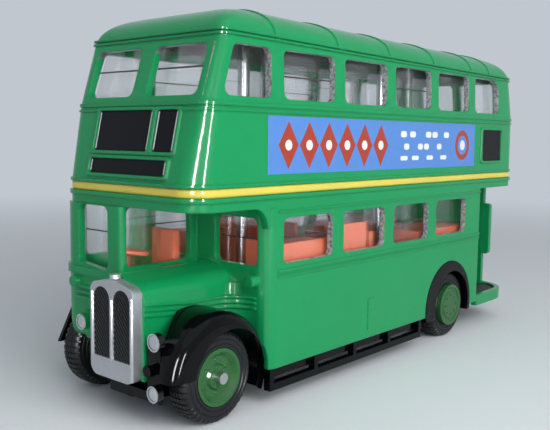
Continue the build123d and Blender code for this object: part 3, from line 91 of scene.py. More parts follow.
class BusColours(bpy.types.PropertyGroup):
    """Paint, moulding and print colours as sRGB hex text."""

    green: bpy.props.StringProperty(
        name="Green enamel", description="Colour of the castings", default="109a59")
    inside: bpy.props.StringProperty(
        name="Unpainted inside", description="Colour of the ceiling", default="77797b")
    yellow: bpy.props.StringProperty(
        name="Yellow enamel", description="Colour of the waist band", default="eedb60")
    seats: bpy.props.StringProperty(
        name="Seat moulding", description="Colour of the seats", default="d96f50")
    black: bpy.props.StringProperty(
        name="Black moulding", description="Colour of base and wings", default="07080a")
    tyres: bpy.props.StringProperty(
        name="Tyre vinyl", description="Colour of the tyres", default="17181c")
    hubs: bpy.props.StringProperty(
        name="Hub moulding", description="Colour of the wheel centres", default="2c6533")
    film: bpy.props.StringProperty(
        name="Blue film", description="Ground colour of the side panels", default="5b8fd8")
    brick: bpy.props.StringProperty(
        name="Brick print", description="Colour of the large shapes on the panels", default="b0412c")
    chalk: bpy.props.StringProperty(
        name="White print", description="Colour of small shapes and blind lines", default="eef1f4")
    floor: bpy.props.StringProperty(
        name="Floor paper", description="Colour of the studio floor", default="f3f7fa")
    backdrop: bpy.props.StringProperty(
        name="Backdrop", description="Colour behind the bus", default="c1c7cf")


# Colours that a user would leave alone, as sRGB hex
CLEAR = "f4f8f8"
# Grey of the window reveals: a painted glint, for light caught by the edges of the clear moulding
REVEAL_GLINT_GREY = "989a9d"
PLATFORM_GREY = "2c2a2a"
# Dark of the window bars: painted shade, for the dark line that a clear moulded step shows
BAR_SHADE_DARK = "3d3632"
BLIND_BLACK = "0b0c11"
MESH_GROUND = "0c0d10"
# Black of the grille wires, lighter than the plate behind as a painted sheen for light caught on the wires
MESH_WIRE_SHEEN_BLACK = "1f2024"
SATIN_SILVER = "b8bbc0"
BRIGHT_SILVER = "c8cace"
ZINC = "b4b6ba"
STEEL = "bdbdbd"

# Silver paint: how much of it is metal, its mottle in mm and spread, and how far forward a tip faces
SILVER_FLAKE = 0.7
SILVER_MOTTLE = (0.4, 0.12)
TIP_FACING = 0.5

# Paint on edges, in mm and degrees
PAINT_ROUND = 0.4
BEVEL_SAMPLES = 6
WELD_REACH = 0.002
SHARP_ANGLE = 40.0
EDGE_SEGMENTS = 3
EVEN_WEIGHT = 100

# Regions of a casting: an axis of the normal and its limits, then limits along the bus,
# out from its middle and up, in mm
CEILING = (("Z", -1.01, -0.25), (-60.0, 60.0), (0.0, 13.6), (0.0, 60.0))
# The reveals are painted grey with a coarse speckle as a painted glint
UPPER_REVEAL_GLINTS = (("Y", -0.3, 0.3), (-46.0, 47.0), (13.2, 14.72), (44.0, 52.5))
LOWER_REVEAL_GLINTS = (("Y", -0.3, 0.3), (-31.0, 32.5), (13.7, 15.03), (20.3, 28.0))
# Mottle of the regions: patch in mm, spread
CEILING_MOTTLE = (4.0, 0.1)
# The reveals' coarse speckle is a painted glint
REVEAL_GLINT_SPECKLE = (0.5, 1.6)

# How far from the bus the floor starts and ends its fade, in mm
FADE = (90.0, 420.0)


def sizes():
    """The size settings of the scene."""
    return bpy.context.scene.bus_sizes


def colours():
    """The colour settings of the scene."""
    return bpy.context.scene.bus_colours


def linear(hex_text, alpha=1.0):
    """An sRGB hex colour as linear RGBA."""
    channels = [int(hex_text[i:i + 2], 16) / 255 for i in (0, 2, 4)]
    return [c / 12.92 if c <= 0.04045 else ((c + 0.055) / 1.055) ** 2.4 for c in channels] + [alpha]


def add(tree, kind, inputs=None, **settings):
    """Adds a node with its settings, and fills or links its inputs."""
    made = tree.nodes.new(kind)
    for name, value in settings.items():
        setattr(made, name, value)
    for name, value in (inputs or {}).items():
        if isinstance(value, bpy.types.NodeSocket):
            tree.links.new(value, made.inputs[name])
        else:
            made.inputs[name].default_value = value
    return made


def new_material(name):
    """An empty node material, its tree and its object coordinates."""
    material = bpy.data.materials.new(name)
    material.use_nodes = True
    tree = material.node_tree
    tree.nodes.clear()
    return material, tree, add(tree, "ShaderNodeTexCoord").outputs["Object"]


def principled(tree, inputs):
    """A Principled shader on the material's output."""
    shader = add(tree, "ShaderNodeBsdfPrincipled", inputs)
    add(tree, "ShaderNodeOutputMaterial", {"Surface": shader.outputs[0]})


def mottled(tree, coords, hex_text, patch_mm, spread):
    """A colour that drifts lighter and darker over patches of the given size."""
    noise = add(tree, "ShaderNodeTexNoise",
                {"Vector": coords, "Scale": 1 / (patch_mm * MM), "Detail": 3.0})
    shift = add(tree, "ShaderNodeMapRange",
                {"Value": noise.outputs["Fac"], "To Min": 1 - spread, "To Max": 1 + spread})
    tint = add(tree, "ShaderNodeHueSaturation",
               {"Value": shift.outputs[0], "Color": linear(hex_text)})
    return tint.outputs[0]


def grained(tree, coords, grain_mm, depth_mm, round_mm=0.0):
    """A normal from fine noise of the given grain size and depth, with edges shaded round."""
    noise = add(tree, "ShaderNodeTexNoise",
                {"Vector": coords, "Scale": 1 / (grain_mm * MM), "Detail": 2.0})
    bump = add(tree, "ShaderNodeBump",
               {"Height": noise.outputs["Fac"], "Distance": depth_mm * MM, "Strength": 1.0})
    if round_mm:
        edge = add(tree, "ShaderNodeBevel", {"Radius": round_mm * MM}, samples=BEVEL_SAMPLES)
        tree.links.new(edge.outputs[0], bump.inputs["Normal"])
    return bump.outputs[0]


def region_mask(tree, coords, region):
    """A mask of one where the surface faces and lies within a region's limits."""
    (axis, *facing), *places = region
    normal = add(tree, "ShaderNodeSeparateXYZ",
                 {0: add(tree, "ShaderNodeTexCoord").outputs["Normal"]})
    place = add(tree, "ShaderNodeSeparateXYZ", {0: coords})
    out = add(tree, "ShaderNodeMath", {0: place.outputs["Y"]}, operation="ABSOLUTE")
    values = (normal.outputs[axis], place.outputs["X"], out.outputs[0], place.outputs["Z"])
    limits = [facing] + [[limit * MM for limit in pair] for pair in places]
    mask = 1.0
    for value, (low, high) in zip(values, limits):
        inside = add(tree, "ShaderNodeMath", {0: value, 1: (low + high) / 2, 2: (high - low) / 2},
                     operation="COMPARE")
        both = add(tree, "ShaderNodeMath", {0: mask, 1: inside.outputs[0]}, operation="MULTIPLY")
        mask = both.outputs[0]
    return mask


def enamel_on_zinc(name, hex_text, regions=()):
    """Sprayed gloss enamel on cast zinc, with another colour in each region, in the reveals a painted
    glint.
    """
    # The eye sees a deep even colour under a clear gloss, with a faint orange peel.
    # Spray doesn't reach a ceiling: there the grey casting shows.
    # In the window reveals a grey speckle is painted as a glint, for light caught by the edges of the clear
    # moulding.
    material, tree, coords = new_material(name)
    colour = mottled(tree, coords, hex_text, patch_mm=9.0, spread=0.05)
    for region, region_hex, (patch_mm, spread) in regions:
        inputs = {"Factor": region_mask(tree, coords, region), "A": colour,
                  "B": mottled(tree, coords, region_hex, patch_mm, spread)}
        colour = add(tree, "ShaderNodeMix", inputs, data_type="RGBA").outputs["Result"]
    principled(tree, {
        "Base Color": colour,
        "Normal": grained(tree, coords, grain_mm=0.9, depth_mm=0.005, round_mm=PAINT_ROUND),
        "Roughness": 0.3, "IOR": 1.5, "Specular IOR Level": 0.1,
        "Coat Weight": 0.45, "Coat Roughness": 0.02})
    return material


def styrene_clear():
    """Clear moulded styrene for the glazing."""
    # The eye looks through it, with a bright, slightly rippled surface.
    # Thin walls bend light very little.
    material, tree, coords = new_material("styrene_clear_moulded")
    principled(tree, {
        "Base Color": linear(CLEAR), "Normal": grained(tree, coords, grain_mm=4.0, depth_mm=0.01),
        "Roughness": 0.02, "IOR": 1.3, "Transmission Weight": 1.0, "Alpha": 0.25})
    return material


def styrene_moulded(name, hex_text, roughness, grain_depth_mm=0.01, specular=0.5):
    """Moulded styrene in its own colour."""
    # The eye sees an even tone with a fine texture from the die.
    material, tree, coords = new_material(name)
    principled(tree, {
        "Base Color": mottled(tree, coords, hex_text, patch_mm=5.0, spread=0.08),
        "Normal": grained(tree, coords, grain_mm=0.35, depth_mm=grain_depth_mm),
        "Roughness": roughness, "IOR": 1.59, "Specular IOR Level": specular})
    return material


def silver_paint(name, hex_text, roughness):
    """Silver paint with metal flake in a clear binder."""
    # The eye sees a soft metal sheen with a fine sparkle.
    material, tree, coords = new_material(name)
    principled(tree, {
        "Base Color": mottled(tree, coords, hex_text, *SILVER_MOTTLE),
        "Normal": grained(tree, coords, grain_mm=0.25, depth_mm=0.01),
        "Metallic": SILVER_FLAKE, "Roughness": roughness})
    return material


def tipped_silver(name, hex_text):
    """A lamp in its own colour with the front tipped in silver by hand."""
    # The eye sees a silver disc in a dark or painted rim.
    material, tree, coords = new_material(name)
    normal = add(tree, "ShaderNodeSeparateXYZ",
                 {0: add(tree, "ShaderNodeTexCoord").outputs["Normal"]})
    front = add(tree, "ShaderNodeMath", {0: normal.outputs["X"], 1: TIP_FACING},
                operation="GREATER_THAN")
    inputs = {"Factor": front.outputs[0], "A": linear(hex_text),
              "B": mottled(tree, coords, BRIGHT_SILVER, *SILVER_MOTTLE)}
    colour = add(tree, "ShaderNodeMix", inputs, data_type="RGBA")
    flake = add(tree, "ShaderNodeMath", {0: front.outputs[0], 1: SILVER_FLAKE},
                operation="MULTIPLY")
    principled(tree, {
        "Base Color": colour.outputs["Result"], "Metallic": flake.outputs[0], "Roughness": 0.25})
    return material


def soft_vinyl():
    """Moulded soft vinyl for the tyres."""
    # The eye sees a dull charcoal skin, a little lighter where it is rubbed.
    material, tree, coords = new_material("vinyl_soft_moulded")
    principled(tree, {
        "Base Color": mottled(tree, coords, colours().tyres, patch_mm=2.0, spread=0.2),
        "Normal": grained(tree, coords, grain_mm=0.3, depth_mm=0.012),
        "Roughness": 0.4, "IOR": 1.5, "Specular IOR Level": 0.3})
    return material


def bare_metal(name, hex_text, roughness):
    """Bare drawn or cast metal."""
    # The eye sees bright metal with a fine, uneven skin.
    material, tree, coords = new_material(name)
    principled(tree, {
        "Base Color": mottled(tree, coords, hex_text, patch_mm=0.8, spread=0.06),
        "Normal": grained(tree, coords, grain_mm=0.2, depth_mm=0.008),
        "Metallic": 1.0, "Roughness": roughness})
    return material


def printed_film(name, hex_text, roughness=0.35, specular=0.4):
    """Ink on a thin vinyl film."""
    # The eye sees a smooth satin colour with a faint uneven lay of the ink.
    material, tree, coords = new_material(name)
    principled(tree, {
        "Base Color": mottled(tree, coords, hex_text, patch_mm=1.2, spread=0.05),
        "Normal": grained(tree, coords, grain_mm=0.6, depth_mm=0.002),
        "Roughness": roughness, "IOR": 1.47, "Specular IOR Level": specular})
    return material


def studio_paper():
    """Matt backdrop paper."""
    # The eye sees a pale, flat ground with a faint drift of tone.
    # Far from the bus the paper fades into the backdrop.
    material, tree, coords = new_material("paper_backdrop_matt")
    paper = add(tree, "ShaderNodeBsdfPrincipled", {
        "Base Color": mottled(tree, coords, colours().floor, patch_mm=60.0, spread=0.01),
        "Roughness": 1.0, "Specular IOR Level": 0.0})
    haze = add(tree, "ShaderNodeEmission", {"Color": linear(colours().backdrop)})
    reach = add(tree, "ShaderNodeVectorMath", {0: coords}, operation="LENGTH")
    start, end = (distance * MM for distance in FADE)
    fade = add(tree, "ShaderNodeMapRange",
               {"Value": reach.outputs["Value"], "From Min": start, "From Max": end},
               interpolation_type="SMOOTHSTEP")
    mix = add(tree, "ShaderNodeMixShader",
              {0: fade.outputs[0], 1: paper.outputs[0], 2: haze.outputs[0]})
    add(tree, "ShaderNodeOutputMaterial", {"Surface": mix.outputs[0]})
    return material


def paint_nodes(material, *names):
    """Gives CAD nodes one material."""
    for name in names:
        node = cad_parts[name]
        node.data.materials.clear()
        node.data.materials.append(material)


def round_edges(width, *names):
    """Rounds the edges of CAD nodes for the eye, as paint does."""
    for name in names:
        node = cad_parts[name]
        weld = node.modifiers.new("weld", "WELD")
        weld.merge_threshold = WELD_REACH * MM
        edge = node.modifiers.new("paint_edge", "BEVEL")
        edge.width = width
        edge.segments = EDGE_SEGMENTS
        edge.limit_method = "ANGLE"
        edge.angle_limit = math.radians(SHARP_ANGLE)
        edge.use_clamp_overlap = True
        even = node.modifiers.new("even_shading", "WEIGHTED_NORMAL")
        even.weight = EVEN_WEIGHT


def finish_piece(name, mesh_data, materials, body, smooth_angle=35.0):
    """Makes an object from a bmesh and rides it on a body."""
    bmesh.ops.recalc_face_normals(mesh_data, faces=mesh_data.faces)
    mesh = bpy.data.meshes.new(name)
    mesh_data.to_mesh(mesh)
    mesh_data.free()
    mesh.shade_smooth()
    mesh.set_sharp_from_angle(angle=math.radians(smooth_angle))
    for material in materials:
        mesh.materials.append(material)
    piece = bpy.data.objects.new(name, mesh)
    bpy.context.collection.objects.link(piece)
    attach(piece, body)
    return piece


def surface(node):
    """A search tree over a CAD node's faces."""
    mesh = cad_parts[node].data
    return BVHTree.FromPolygons([v.co for v in mesh.vertices], [p.vertices for p in mesh.polygons])


def hit(node, start, direction):
    """Where a ray from a start in millimetres first meets a CAD node."""
    place = surface(node).ray_cast(Vector(start) * MM, Vector(direction))[0]
    if place is None:
        raise RuntimeError(f"{node} has no surface ahead of {start}")
    return place


class FlatPatch:
    """A flat stretch of a CAD node, with millimetres along it, up it and off it."""

    def __init__(self, node, direction, corner, beside, above):
        self.origin, along, up = (hit(node, start, direction) for start in (corner, beside, above))
        self.along = (along - self.origin).normalized()
        up = up - self.origin
        self.up = (up - self.along * up.dot(self.along)).normalized()
        self.off = self.along.cross(self.up)
        if self.off.dot(Vector(direction)) > 0:
            self.off.negate()

    def at(self, along, up, off=0.0):
        """The place at these distances."""
        return self.origin + (self.along * along + self.up * up + self.off * off) * MM


def around(count, start=0.0):
    """Evenly spaced angles round a circle."""
    return [math.tau * (k + start) / count for k in range(count)]


def add_plate(mesh_data, patch, outline, low, high, material=0):
    """A closed thin plate with a flat outline, between two distances off a patch."""
    rings = [[mesh_data.verts.new(patch.at(u, v, off)) for u, v in outline] for off in (low, high)]
    faces = [mesh_data.faces.new(rings[0]), mesh_data.faces.new(rings[1])]
    for i in range(len(outline)):
        j = (i + 1) % len(outline)
        faces.append(mesh_data.faces.new((rings[0][i], rings[0][j], rings[1][j], rings[1][i])))
    for face in faces:
        face.material_index = material


def box_outline(low_u, low_v, high_u, high_v, radius, steps=5):
    """A rectangle with rounded corners."""
    corners = ((high_u - radius, high_v - radius, 0), (low_u + radius, high_v - radius, 90),
               (low_u + radius, low_v + radius, 180), (high_u - radius, low_v + radius, 270))
    return [(u + radius * math.cos(math.radians(turn + 90 * k / steps)),
             v + radius * math.sin(math.radians(turn + 90 * k / steps)))
            for u, v, turn in corners for k in range(steps + 1)]


def disc_outline(u, v, radius, steps=36):
    """A circle."""
    return [(u + radius * math.cos(turn), v + radius * math.sin(turn)) for turn in around(steps)]


def add_lathe(mesh_data, profile, centre, axis, across, angles, cuts=None):
    """Turns a closed profile about an axis through a centre in millimetres.

    A profile point is (along the axis, radius). A third value marks one that each angle's cut lowers.
    """
    axis, across = Vector(axis), Vector(across)
    up = axis.cross(across)
    rings = []
    for index, angle in enumerate(angles):
        arm = across * math.cos(angle) + up * math.sin(angle)
        ring = []
        for along, radius, *marked in profile:
            reach = radius - cuts[index] if marked else radius
            ring.append(mesh_data.verts.new((Vector(centre) + axis * along + arm * reach) * MM))
        rings.append(ring)
    for i, ring in enumerate(rings):
        after = rings[(i + 1) % len(rings)]
        for j in range(len(profile)):
            k = (j + 1) % len(profile)
            mesh_data.faces.new((ring[j], ring[k], after[k], after[j]))


# Camera at the photograph's viewpoint, in millimetres, degrees and pixels
CAMERA_PLACE = (115.17, 86.94, 39.93)
CAMERA_HEADING = -139.14
CAMERA_PITCH = -5.88
CAMERA_ROLL = 0.78
FOCAL_PIXELS = 761.82
PHOTO_WIDTH = 550
SENSOR_WIDTH = 36.0
CLIP_START = 1.0

# Studio, in mm and degrees
FLOOR_HALF = 6000.0
TOP_FROM = (0.1, 0.35, 0.93)
TOP_STRENGTH = 0.36
TOP_ANGLE = 60.0
SKY_STRENGTH = 0.44
BACKDROP_STRENGTH = 1.0
# Soft boxes: name, place in mm, size in mm, watts, which surfaces catch it
SOFT_BOXES = (
    ("key_softbox", (80, 215, 125), (220, 180), 0.46, "matt"),
    ("front_strip", (265, 145, 85), (42, 150), 1.3, "gloss"),
    ("side_strip", (128, 250, 65), (24, 110), 0.6, "gloss"),
)
AIM = (0.0, 0.0, 25.0)


class BUS_OT_stage(bpy.types.Operator):
    """Builds the floor, the soft lights, the backdrop and the camera"""

    bl_idname = "bus.stage"
    bl_label = "Stage"

    def execute(self, context):
        self.lay_floor(context)
        self.place_camera(context)
        self.hang_lights(context)
        self.colour_backdrop(context)
        context.scene.view_settings.view_transform = "Standard"
        return {"FINISHED"}

    def lay_floor(self, context):
        """A wide sheet of paper under the bus."""
        half = FLOOR_HALF * MM
        corners = [(-half, -half, 0), (half, -half, 0), (half, half, 0), (-half, half, 0)]
        floor_mesh = bpy.data.meshes.new("studio_floor")
        floor_mesh.from_pydata(corners, [], [(0, 1, 2, 3)])
        floor = bpy.data.objects.new("studio_floor", floor_mesh)
        context.collection.objects.link(floor)
        floor_mesh.materials.append(studio_paper())

    def place_camera(self, context):
        """The camera where the photograph was taken from."""
        angles = (CAMERA_HEADING, CAMERA_PITCH, CAMERA_ROLL)
        heading, pitch, roll = (math.radians(angle) for angle in angles)
        ahead = Vector((math.cos(pitch) * math.cos(heading), math.cos(pitch) * math.sin(heading),
                        math.sin(pitch)))
        level_right = ahead.cross(Vector(UP)).normalized()
        level_up = level_right.cross(ahead)
        right = level_right * math.cos(roll) + level_up * math.sin(roll)
        up = right.cross(ahead)
        lens = bpy.data.cameras.new("viewpoint")
        lens.sensor_width = SENSOR_WIDTH
        lens.lens = SENSOR_WIDTH * FOCAL_PIXELS / PHOTO_WIDTH
        lens.clip_start = CLIP_START * MM
        camera = bpy.data.objects.new("viewpoint", lens)
        context.collection.objects.link(camera)
        turn = Matrix((right, up, -ahead)).transposed()
        camera.matrix_world = Matrix.Translation(Vector(CAMERA_PLACE) * MM) @ turn.to_4x4()
        context.scene.camera = camera

    def hang_lights(self, context):
        """A soft light from above and the soft boxes round the front corner."""
        top = bpy.data.lights.new("top_light", "SUN")
        top.energy = TOP_STRENGTH
        top.angle = math.radians(TOP_ANGLE)
        top_lamp = bpy.data.objects.new("top_light", top)
        context.collection.objects.link(top_lamp)
        top_lamp.rotation_euler = (-Vector(TOP_FROM)).to_track_quat("-Z", "Y").to_euler()
        for name, place, size, power, caught_by in SOFT_BOXES:
            light = bpy.data.lights.new(name, "AREA")
            light.shape = "RECTANGLE"
            light.size, light.size_y = (side * MM for side in size)
            light.energy = power
            lamp = bpy.data.objects.new(name, light)
            context.collection.objects.link(lamp)
            lamp.location = Vector(place) * MM
            lamp.visible_diffuse = caught_by == "matt"
            lamp.visible_glossy = caught_by == "gloss"
            aim = Vector(AIM) * MM - lamp.location
            lamp.rotation_euler = aim.to_track_quat("-Z", "Y").to_euler()

    def colour_backdrop(self, context):
        """A pale backdrop to the eye, in metal and through glass, and a weaker light elsewhere."""
        world = bpy.data.worlds.new("studio")
        context.scene.world = world
        world.use_nodes = True
        tree = world.node_tree
        tree.nodes.clear()
        path = add(tree, "ShaderNodeLightPath")
        seen = path.outputs["Is Camera Ray"]
        for ray in ("Is Glossy Ray", "Is Transmission Ray"):
            either = add(tree, "ShaderNodeMath", {0: seen, 1: path.outputs[ray]}, operation="MAXIMUM")
            seen = either.outputs[0]
        strength = add(tree, "ShaderNodeMapRange",
                       {"Value": seen, "To Min": SKY_STRENGTH, "To Max": BACKDROP_STRENGTH})
        sky = add(tree, "ShaderNodeBackground",
                  {"Color": linear(colours().backdrop), "Strength": strength.outputs[0]})
        add(tree, "ShaderNodeOutputWorld", {"Surface": sky.outputs[0]})


class BUS_OT_castings(bpy.types.Operator):
    """Paints the castings and the waist band"""

    bl_idname = "bus.castings"
    bl_label = "Castings"

    def execute(self, context):
        green = colours().green
        # The reveals get a painted glint of speckled grey
        upper = [(CEILING, colours().inside, CEILING_MOTTLE),
                 (UPPER_REVEAL_GLINTS, REVEAL_GLINT_GREY, REVEAL_GLINT_SPECKLE)]
        lower = [(LOWER_REVEAL_GLINTS, REVEAL_GLINT_GREY, REVEAL_GLINT_SPECKLE)]
        paint_nodes(enamel_on_zinc("enamel_green_upper", green, upper), "upper_shell")
        paint_nodes(enamel_on_zinc("enamel_green_lower", green, lower), "lower_shell")
        paint_nodes(enamel_on_zinc("enamel_green_stairs", green), "staircase")
        paint_nodes(enamel_on_zinc("enamel_yellow_sprayed", colours().yellow), "waist_band")
        round_edges(sizes().edge_round, "upper_shell", "lower_shell", "waist_band")
        return {"FINISHED"}


class BUS_OT_mouldings(bpy.types.Operator):
    """Finishes the glazing, seats, base, wings, platform, posts, screws and axles"""

    bl_idname = "bus.mouldings"
    bl_label = "Mouldings"

    def execute(self, context):
        paint_nodes(styrene_clear(), "upper_glazing", "lower_glazing", "cab_glazing")
        terracotta = styrene_moulded("styrene_terracotta_moulded", colours().seats, roughness=0.42)
        paint_nodes(terracotta, "upper_deck_seats", "lower_deck_seats", "driver_seat", "steering_wheel")
        black = styrene_moulded("styrene_black_moulded", colours().black, roughness=0.1,
                                grain_depth_mm=0.002, specular=0.12)
        wings = ("front_wing_left", "front_wing_right", "rear_arch_left", "rear_arch_right")
        paint_nodes(black, "chassis_base", "horn", *wings)
        grey = styrene_moulded("styrene_grey_moulded", PLATFORM_GREY, roughness=0.7)
        paint_nodes(grey, "platform_floor")
        paint_nodes(bare_metal("zinc_cast_bare", ZINC, roughness=0.25), "assembly_posts")
        steel = bare_metal("steel_drawn", STEEL, roughness=0.3)
        paint_nodes(steel, "base_screws", "front_axle", "rear_axle")
        round_edges(sizes().edge_round, *wings)
        return {"FINISHED"}


# Window bars: node, start and end along x on a side or across y in front, level, in mm
SIDE_BARS = (
    ("lower_glazing", (30.0, 17.9), 24.6),
    ("lower_glazing", (-0.2, -12.3), 24.6),
    ("upper_glazing", (30.1, 17.8), 48.6),
    ("upper_glazing", (-0.1, -12.4), 48.6),
)
FRONT_BARS = (
    ("upper_glazing", (1.6, 12.0), 49.2),
    ("upper_glazing", (-1.6, -12.0), 49.2),
    ("lower_glazing", (4.6, 12.6), 24.7),
    ("cab_glazing", (-9.4, -3.4), 25.6),
)
BAR_PROUD = 0.1
# Corner radius as a share of the height, and facets of a corner
BAR_ROUND = 0.45
BAR_STEPS = 3


class BUS_OT_window_bars(bpy.types.Operator):
    """Moulds the bars across the opening windows"""

    bl_idname = "bus.window_bars"
    bl_label = "Window bars"

    def execute(self, context):
        # The bars are moulded steps in the clear glazing; their dark colour is painted shade for how such a
        # step looks
        bar_shade = styrene_moulded("styrene_bar_painted_shade", BAR_SHADE_DARK, roughness=0.3)
        for name, side in SIDES.items():
            mesh_data = bmesh.new()
            for node, span, level in SIDE_BARS:
                ends = [(x, side * LOOK_FROM_SIDE, level) for x in span]
                self.add_bar(mesh_data, node, (0, -side, 0), *ends)
            finish_piece("window_bars_" + name, mesh_data, [bar_shade], BODY)
        mesh_data = bmesh.new()
        for node, span, level in FRONT_BARS:
            ends = [(LOOK_FROM_FRONT, y, level) for y in span]
            self.add_bar(mesh_data, node, AFT, *ends)
        finish_piece("window_bars_front", mesh_data, [bar_shade], BODY)
        return {"FINISHED"}

    def add_bar(self, mesh_data, node, direction, start, end):
        """A bar on a pane, between two places that are looked for in a direction."""
        start, end = Vector(start), Vector(end)
        patch = FlatPatch(node, direction, start, end, start + Vector(UP))
        height = sizes().bar_width / MM
        outline = box_outline(0, 0, (end - start).length, height, height * BAR_ROUND, BAR_STEPS)
        add_plate(mesh_data, patch, outline, -SINK, BAR_PROUD)


# Side panels: a film with lozenges, dashes and a ring, in mm from the film's lower front corner
FILM_X = (33.8, -30.2)
FILM_Z = (34.5, 42.9)
FILM_THICK = 0.02
FILM_CORNER = 0.15
INK_THICK = 0.015
# Places of the inks in a panel's list of materials
BLUE, BRICK, WHITE = range(3)
LOZENGES = 6
LOZENGE_FIRST = 4.6
LOZENGE_STEP = 4.9
LOZENGE_HALF = (2.3, 3.5)
# Radius of a lozenge's spot as a share of its half width
SPOT_SHARE = 0.34
# Dashes: level, height, starts, length
DASH_ROWS = (
    (5.6, 1.1, (35.5, 38.6, 44.2, 46.6, 51.0), 2.0),
    (3.4, 1.1, (36.6, 41.4, 43.6, 48.4), 1.8),
    (1.5, 0.8, (35.5, 39.4, 44.6, 49.8), 2.4),
)
# Corner radius of a dash as a share of its height
DASH_ROUND = 0.45
# Ring: centre, then the radius and ink of each disc from the lowest up
RING_CENTRE = (58.6, 4.2)
RING_DISCS = ((2.9, BRICK), (1.9, BLUE), (1.0, WHITE))


class BUS_OT_side_panels(bpy.types.Operator):
    """Applies the printed films to the upper sides"""

    bl_idname = "bus.side_panels"
    bl_label = "Side panels"

    def execute(self, context):
        inks = [printed_film("vinyl_film_blue", colours().film),
                printed_film("ink_brick_printed", colours().brick),
                printed_film("ink_white_printed", colours().chalk)]
        front, rear = FILM_X
        low, high = FILM_Z
        for name, side in SIDES.items():
            places = [(x, side * LOOK_FROM_SIDE, z)
                      for x, z in ((front, low), (rear, low), (front, high))]
            patch = FlatPatch("upper_shell", (0, -side, 0), *places)
            mesh_data = bmesh.new()
            self.print_panel(mesh_data, patch, front - rear, high - low)
            finish_piece("side_panel_" + name, mesh_data, inks, BODY)
        return {"FINISHED"}

    def print_panel(self, mesh_data, patch, length, height):
        """The film and the shapes printed on it."""
        lift = sizes().print_lift / MM
        top = lift + FILM_THICK
        inked = top + INK_THICK
        film = box_outline(0, 0, length, height, FILM_CORNER)
        add_plate(mesh_data, patch, film, lift, top, BLUE)
        half_wide, half_tall = LOZENGE_HALF
        for k in range(LOZENGES):
            u, v = LOZENGE_FIRST + LOZENGE_STEP * k, height / 2
            lozenge = [(u - half_wide, v), (u, v - half_tall), (u + half_wide, v), (u, v + half_tall)]
            add_plate(mesh_data, patch, lozenge, top, inked, BRICK)
            spot = disc_outline(u, v, half_wide * SPOT_SHARE)
            add_plate(mesh_data, patch, spot, inked, inked + INK_THICK, WHITE)
        for level, tall, starts, wide in DASH_ROWS:
            for start in starts:
                dash = box_outline(start, level, start + wide, level + tall, tall * DASH_ROUND)
                add_plate(mesh_data, patch, dash, top, inked, WHITE)
        for step, (radius, ink) in enumerate(RING_DISCS):
            base = top + step * INK_THICK
            add_plate(mesh_data, patch, disc_outline(*RING_CENTRE, radius), base, base + INK_THICK, ink)


# Blind edge lines: blind's low and high y, low and high z, in mm
BLIND_LINES = (
    (-8.0, 4.3, 37.6, 43.4),
    (5.1, 9.6, 37.6, 43.4),
    (-8.3, 8.8, 34.3, 36.5),
)
LINE_INSET = 0.25
LINE_WIDTH = 0.22
# Corner radius of a line as a share of its width, and facets of a corner
LINE_ROUND = 0.4
LINE_STEPS = 3


class BUS_OT_blinds(bpy.types.Operator):
    """Finishes the blank destination blinds"""

    bl_idname = "bus.blinds"
    bl_label = "Blinds"

    def execute(self, context):
        film = printed_film("vinyl_film_black", BLIND_BLACK, roughness=0.3, specular=0.15)
        paint_nodes(film, "front_blinds", "side_blind")
        white = printed_film("ink_white_lines", colours().chalk)
        lift = sizes().print_lift / MM
        mesh_data = bmesh.new()
        for low_y, high_y, low_z, high_z in BLIND_LINES:
            left, right = high_y - LINE_INSET, low_y + LINE_INSET
            low, high = low_z + LINE_INSET, high_z - LINE_INSET
            places = [(LOOK_FROM_FRONT, y, z) for y, z in ((left, low), (right, low), (left, high))]
            patch = FlatPatch("front_blinds", AFT, *places)
            tall = (patch.origin - hit("front_blinds", places[2], AFT)).length / MM
            for start in (0, left - right - LINE_WIDTH):
                line = box_outline(start, 0, start + LINE_WIDTH, tall, LINE_WIDTH * LINE_ROUND, LINE_STEPS)
                add_plate(mesh_data, patch, line, lift, lift + FILM_THICK)
        finish_piece("blind_lines", mesh_data, [white], BODY)
        return {"FINISHED"}


# Radiator mesh: openings' low and high y, low and high z, in mm
GRILLE_OPENINGS = ((-1.1, 2.5, 9.0, 19.2), (3.3, 6.9, 9.0, 19.2))
GRILLE_INSET = 0.3
WIRE_PROUD = 0.14
WIRE_STEP = 0.05
# How far a wire leans across for each mm up, how much of a lower wire's height the upper one
# clears, and the fewest steps that make a wire
WIRE_LEAN = 0.8
WIRE_CROSSING = 0.6
FEWEST_STEPS = 3
# Radiator beads: middle y, low and high z, radius, in mm
BEADS = ((-1.45, 8.8, 18.2, 0.3), (2.9, 8.8, 17.4, 0.28), (7.3, 6.6, 18.2, 0.32))
BEAD_SINK = 0.12
BEAD_SEGMENTS = 16
# Radius of a bead's end as a share of its own
BEAD_END = 0.6
# Lamps: node, face centre y and z, lens radius and floor x, in mm
LENSES = (
    ("headlamp_left", 10.7, 12.6, 1.0, 50.9),
    ("fog_lamp", 10.5, 5.5, 0.9, 50.9),
    ("headlamp_right", -7.45, 12.1, 0.95, 49.55),
)
LENS_BASE = 0.24
LENS_RISE = 0.12
LENS_FLUTES = 0.02
LENS_SEGMENTS = 40
# Turns of the lens's dome from its rim, in degrees
LENS_TURNS = (12, 25, 38, 50, 62, 74, 84)


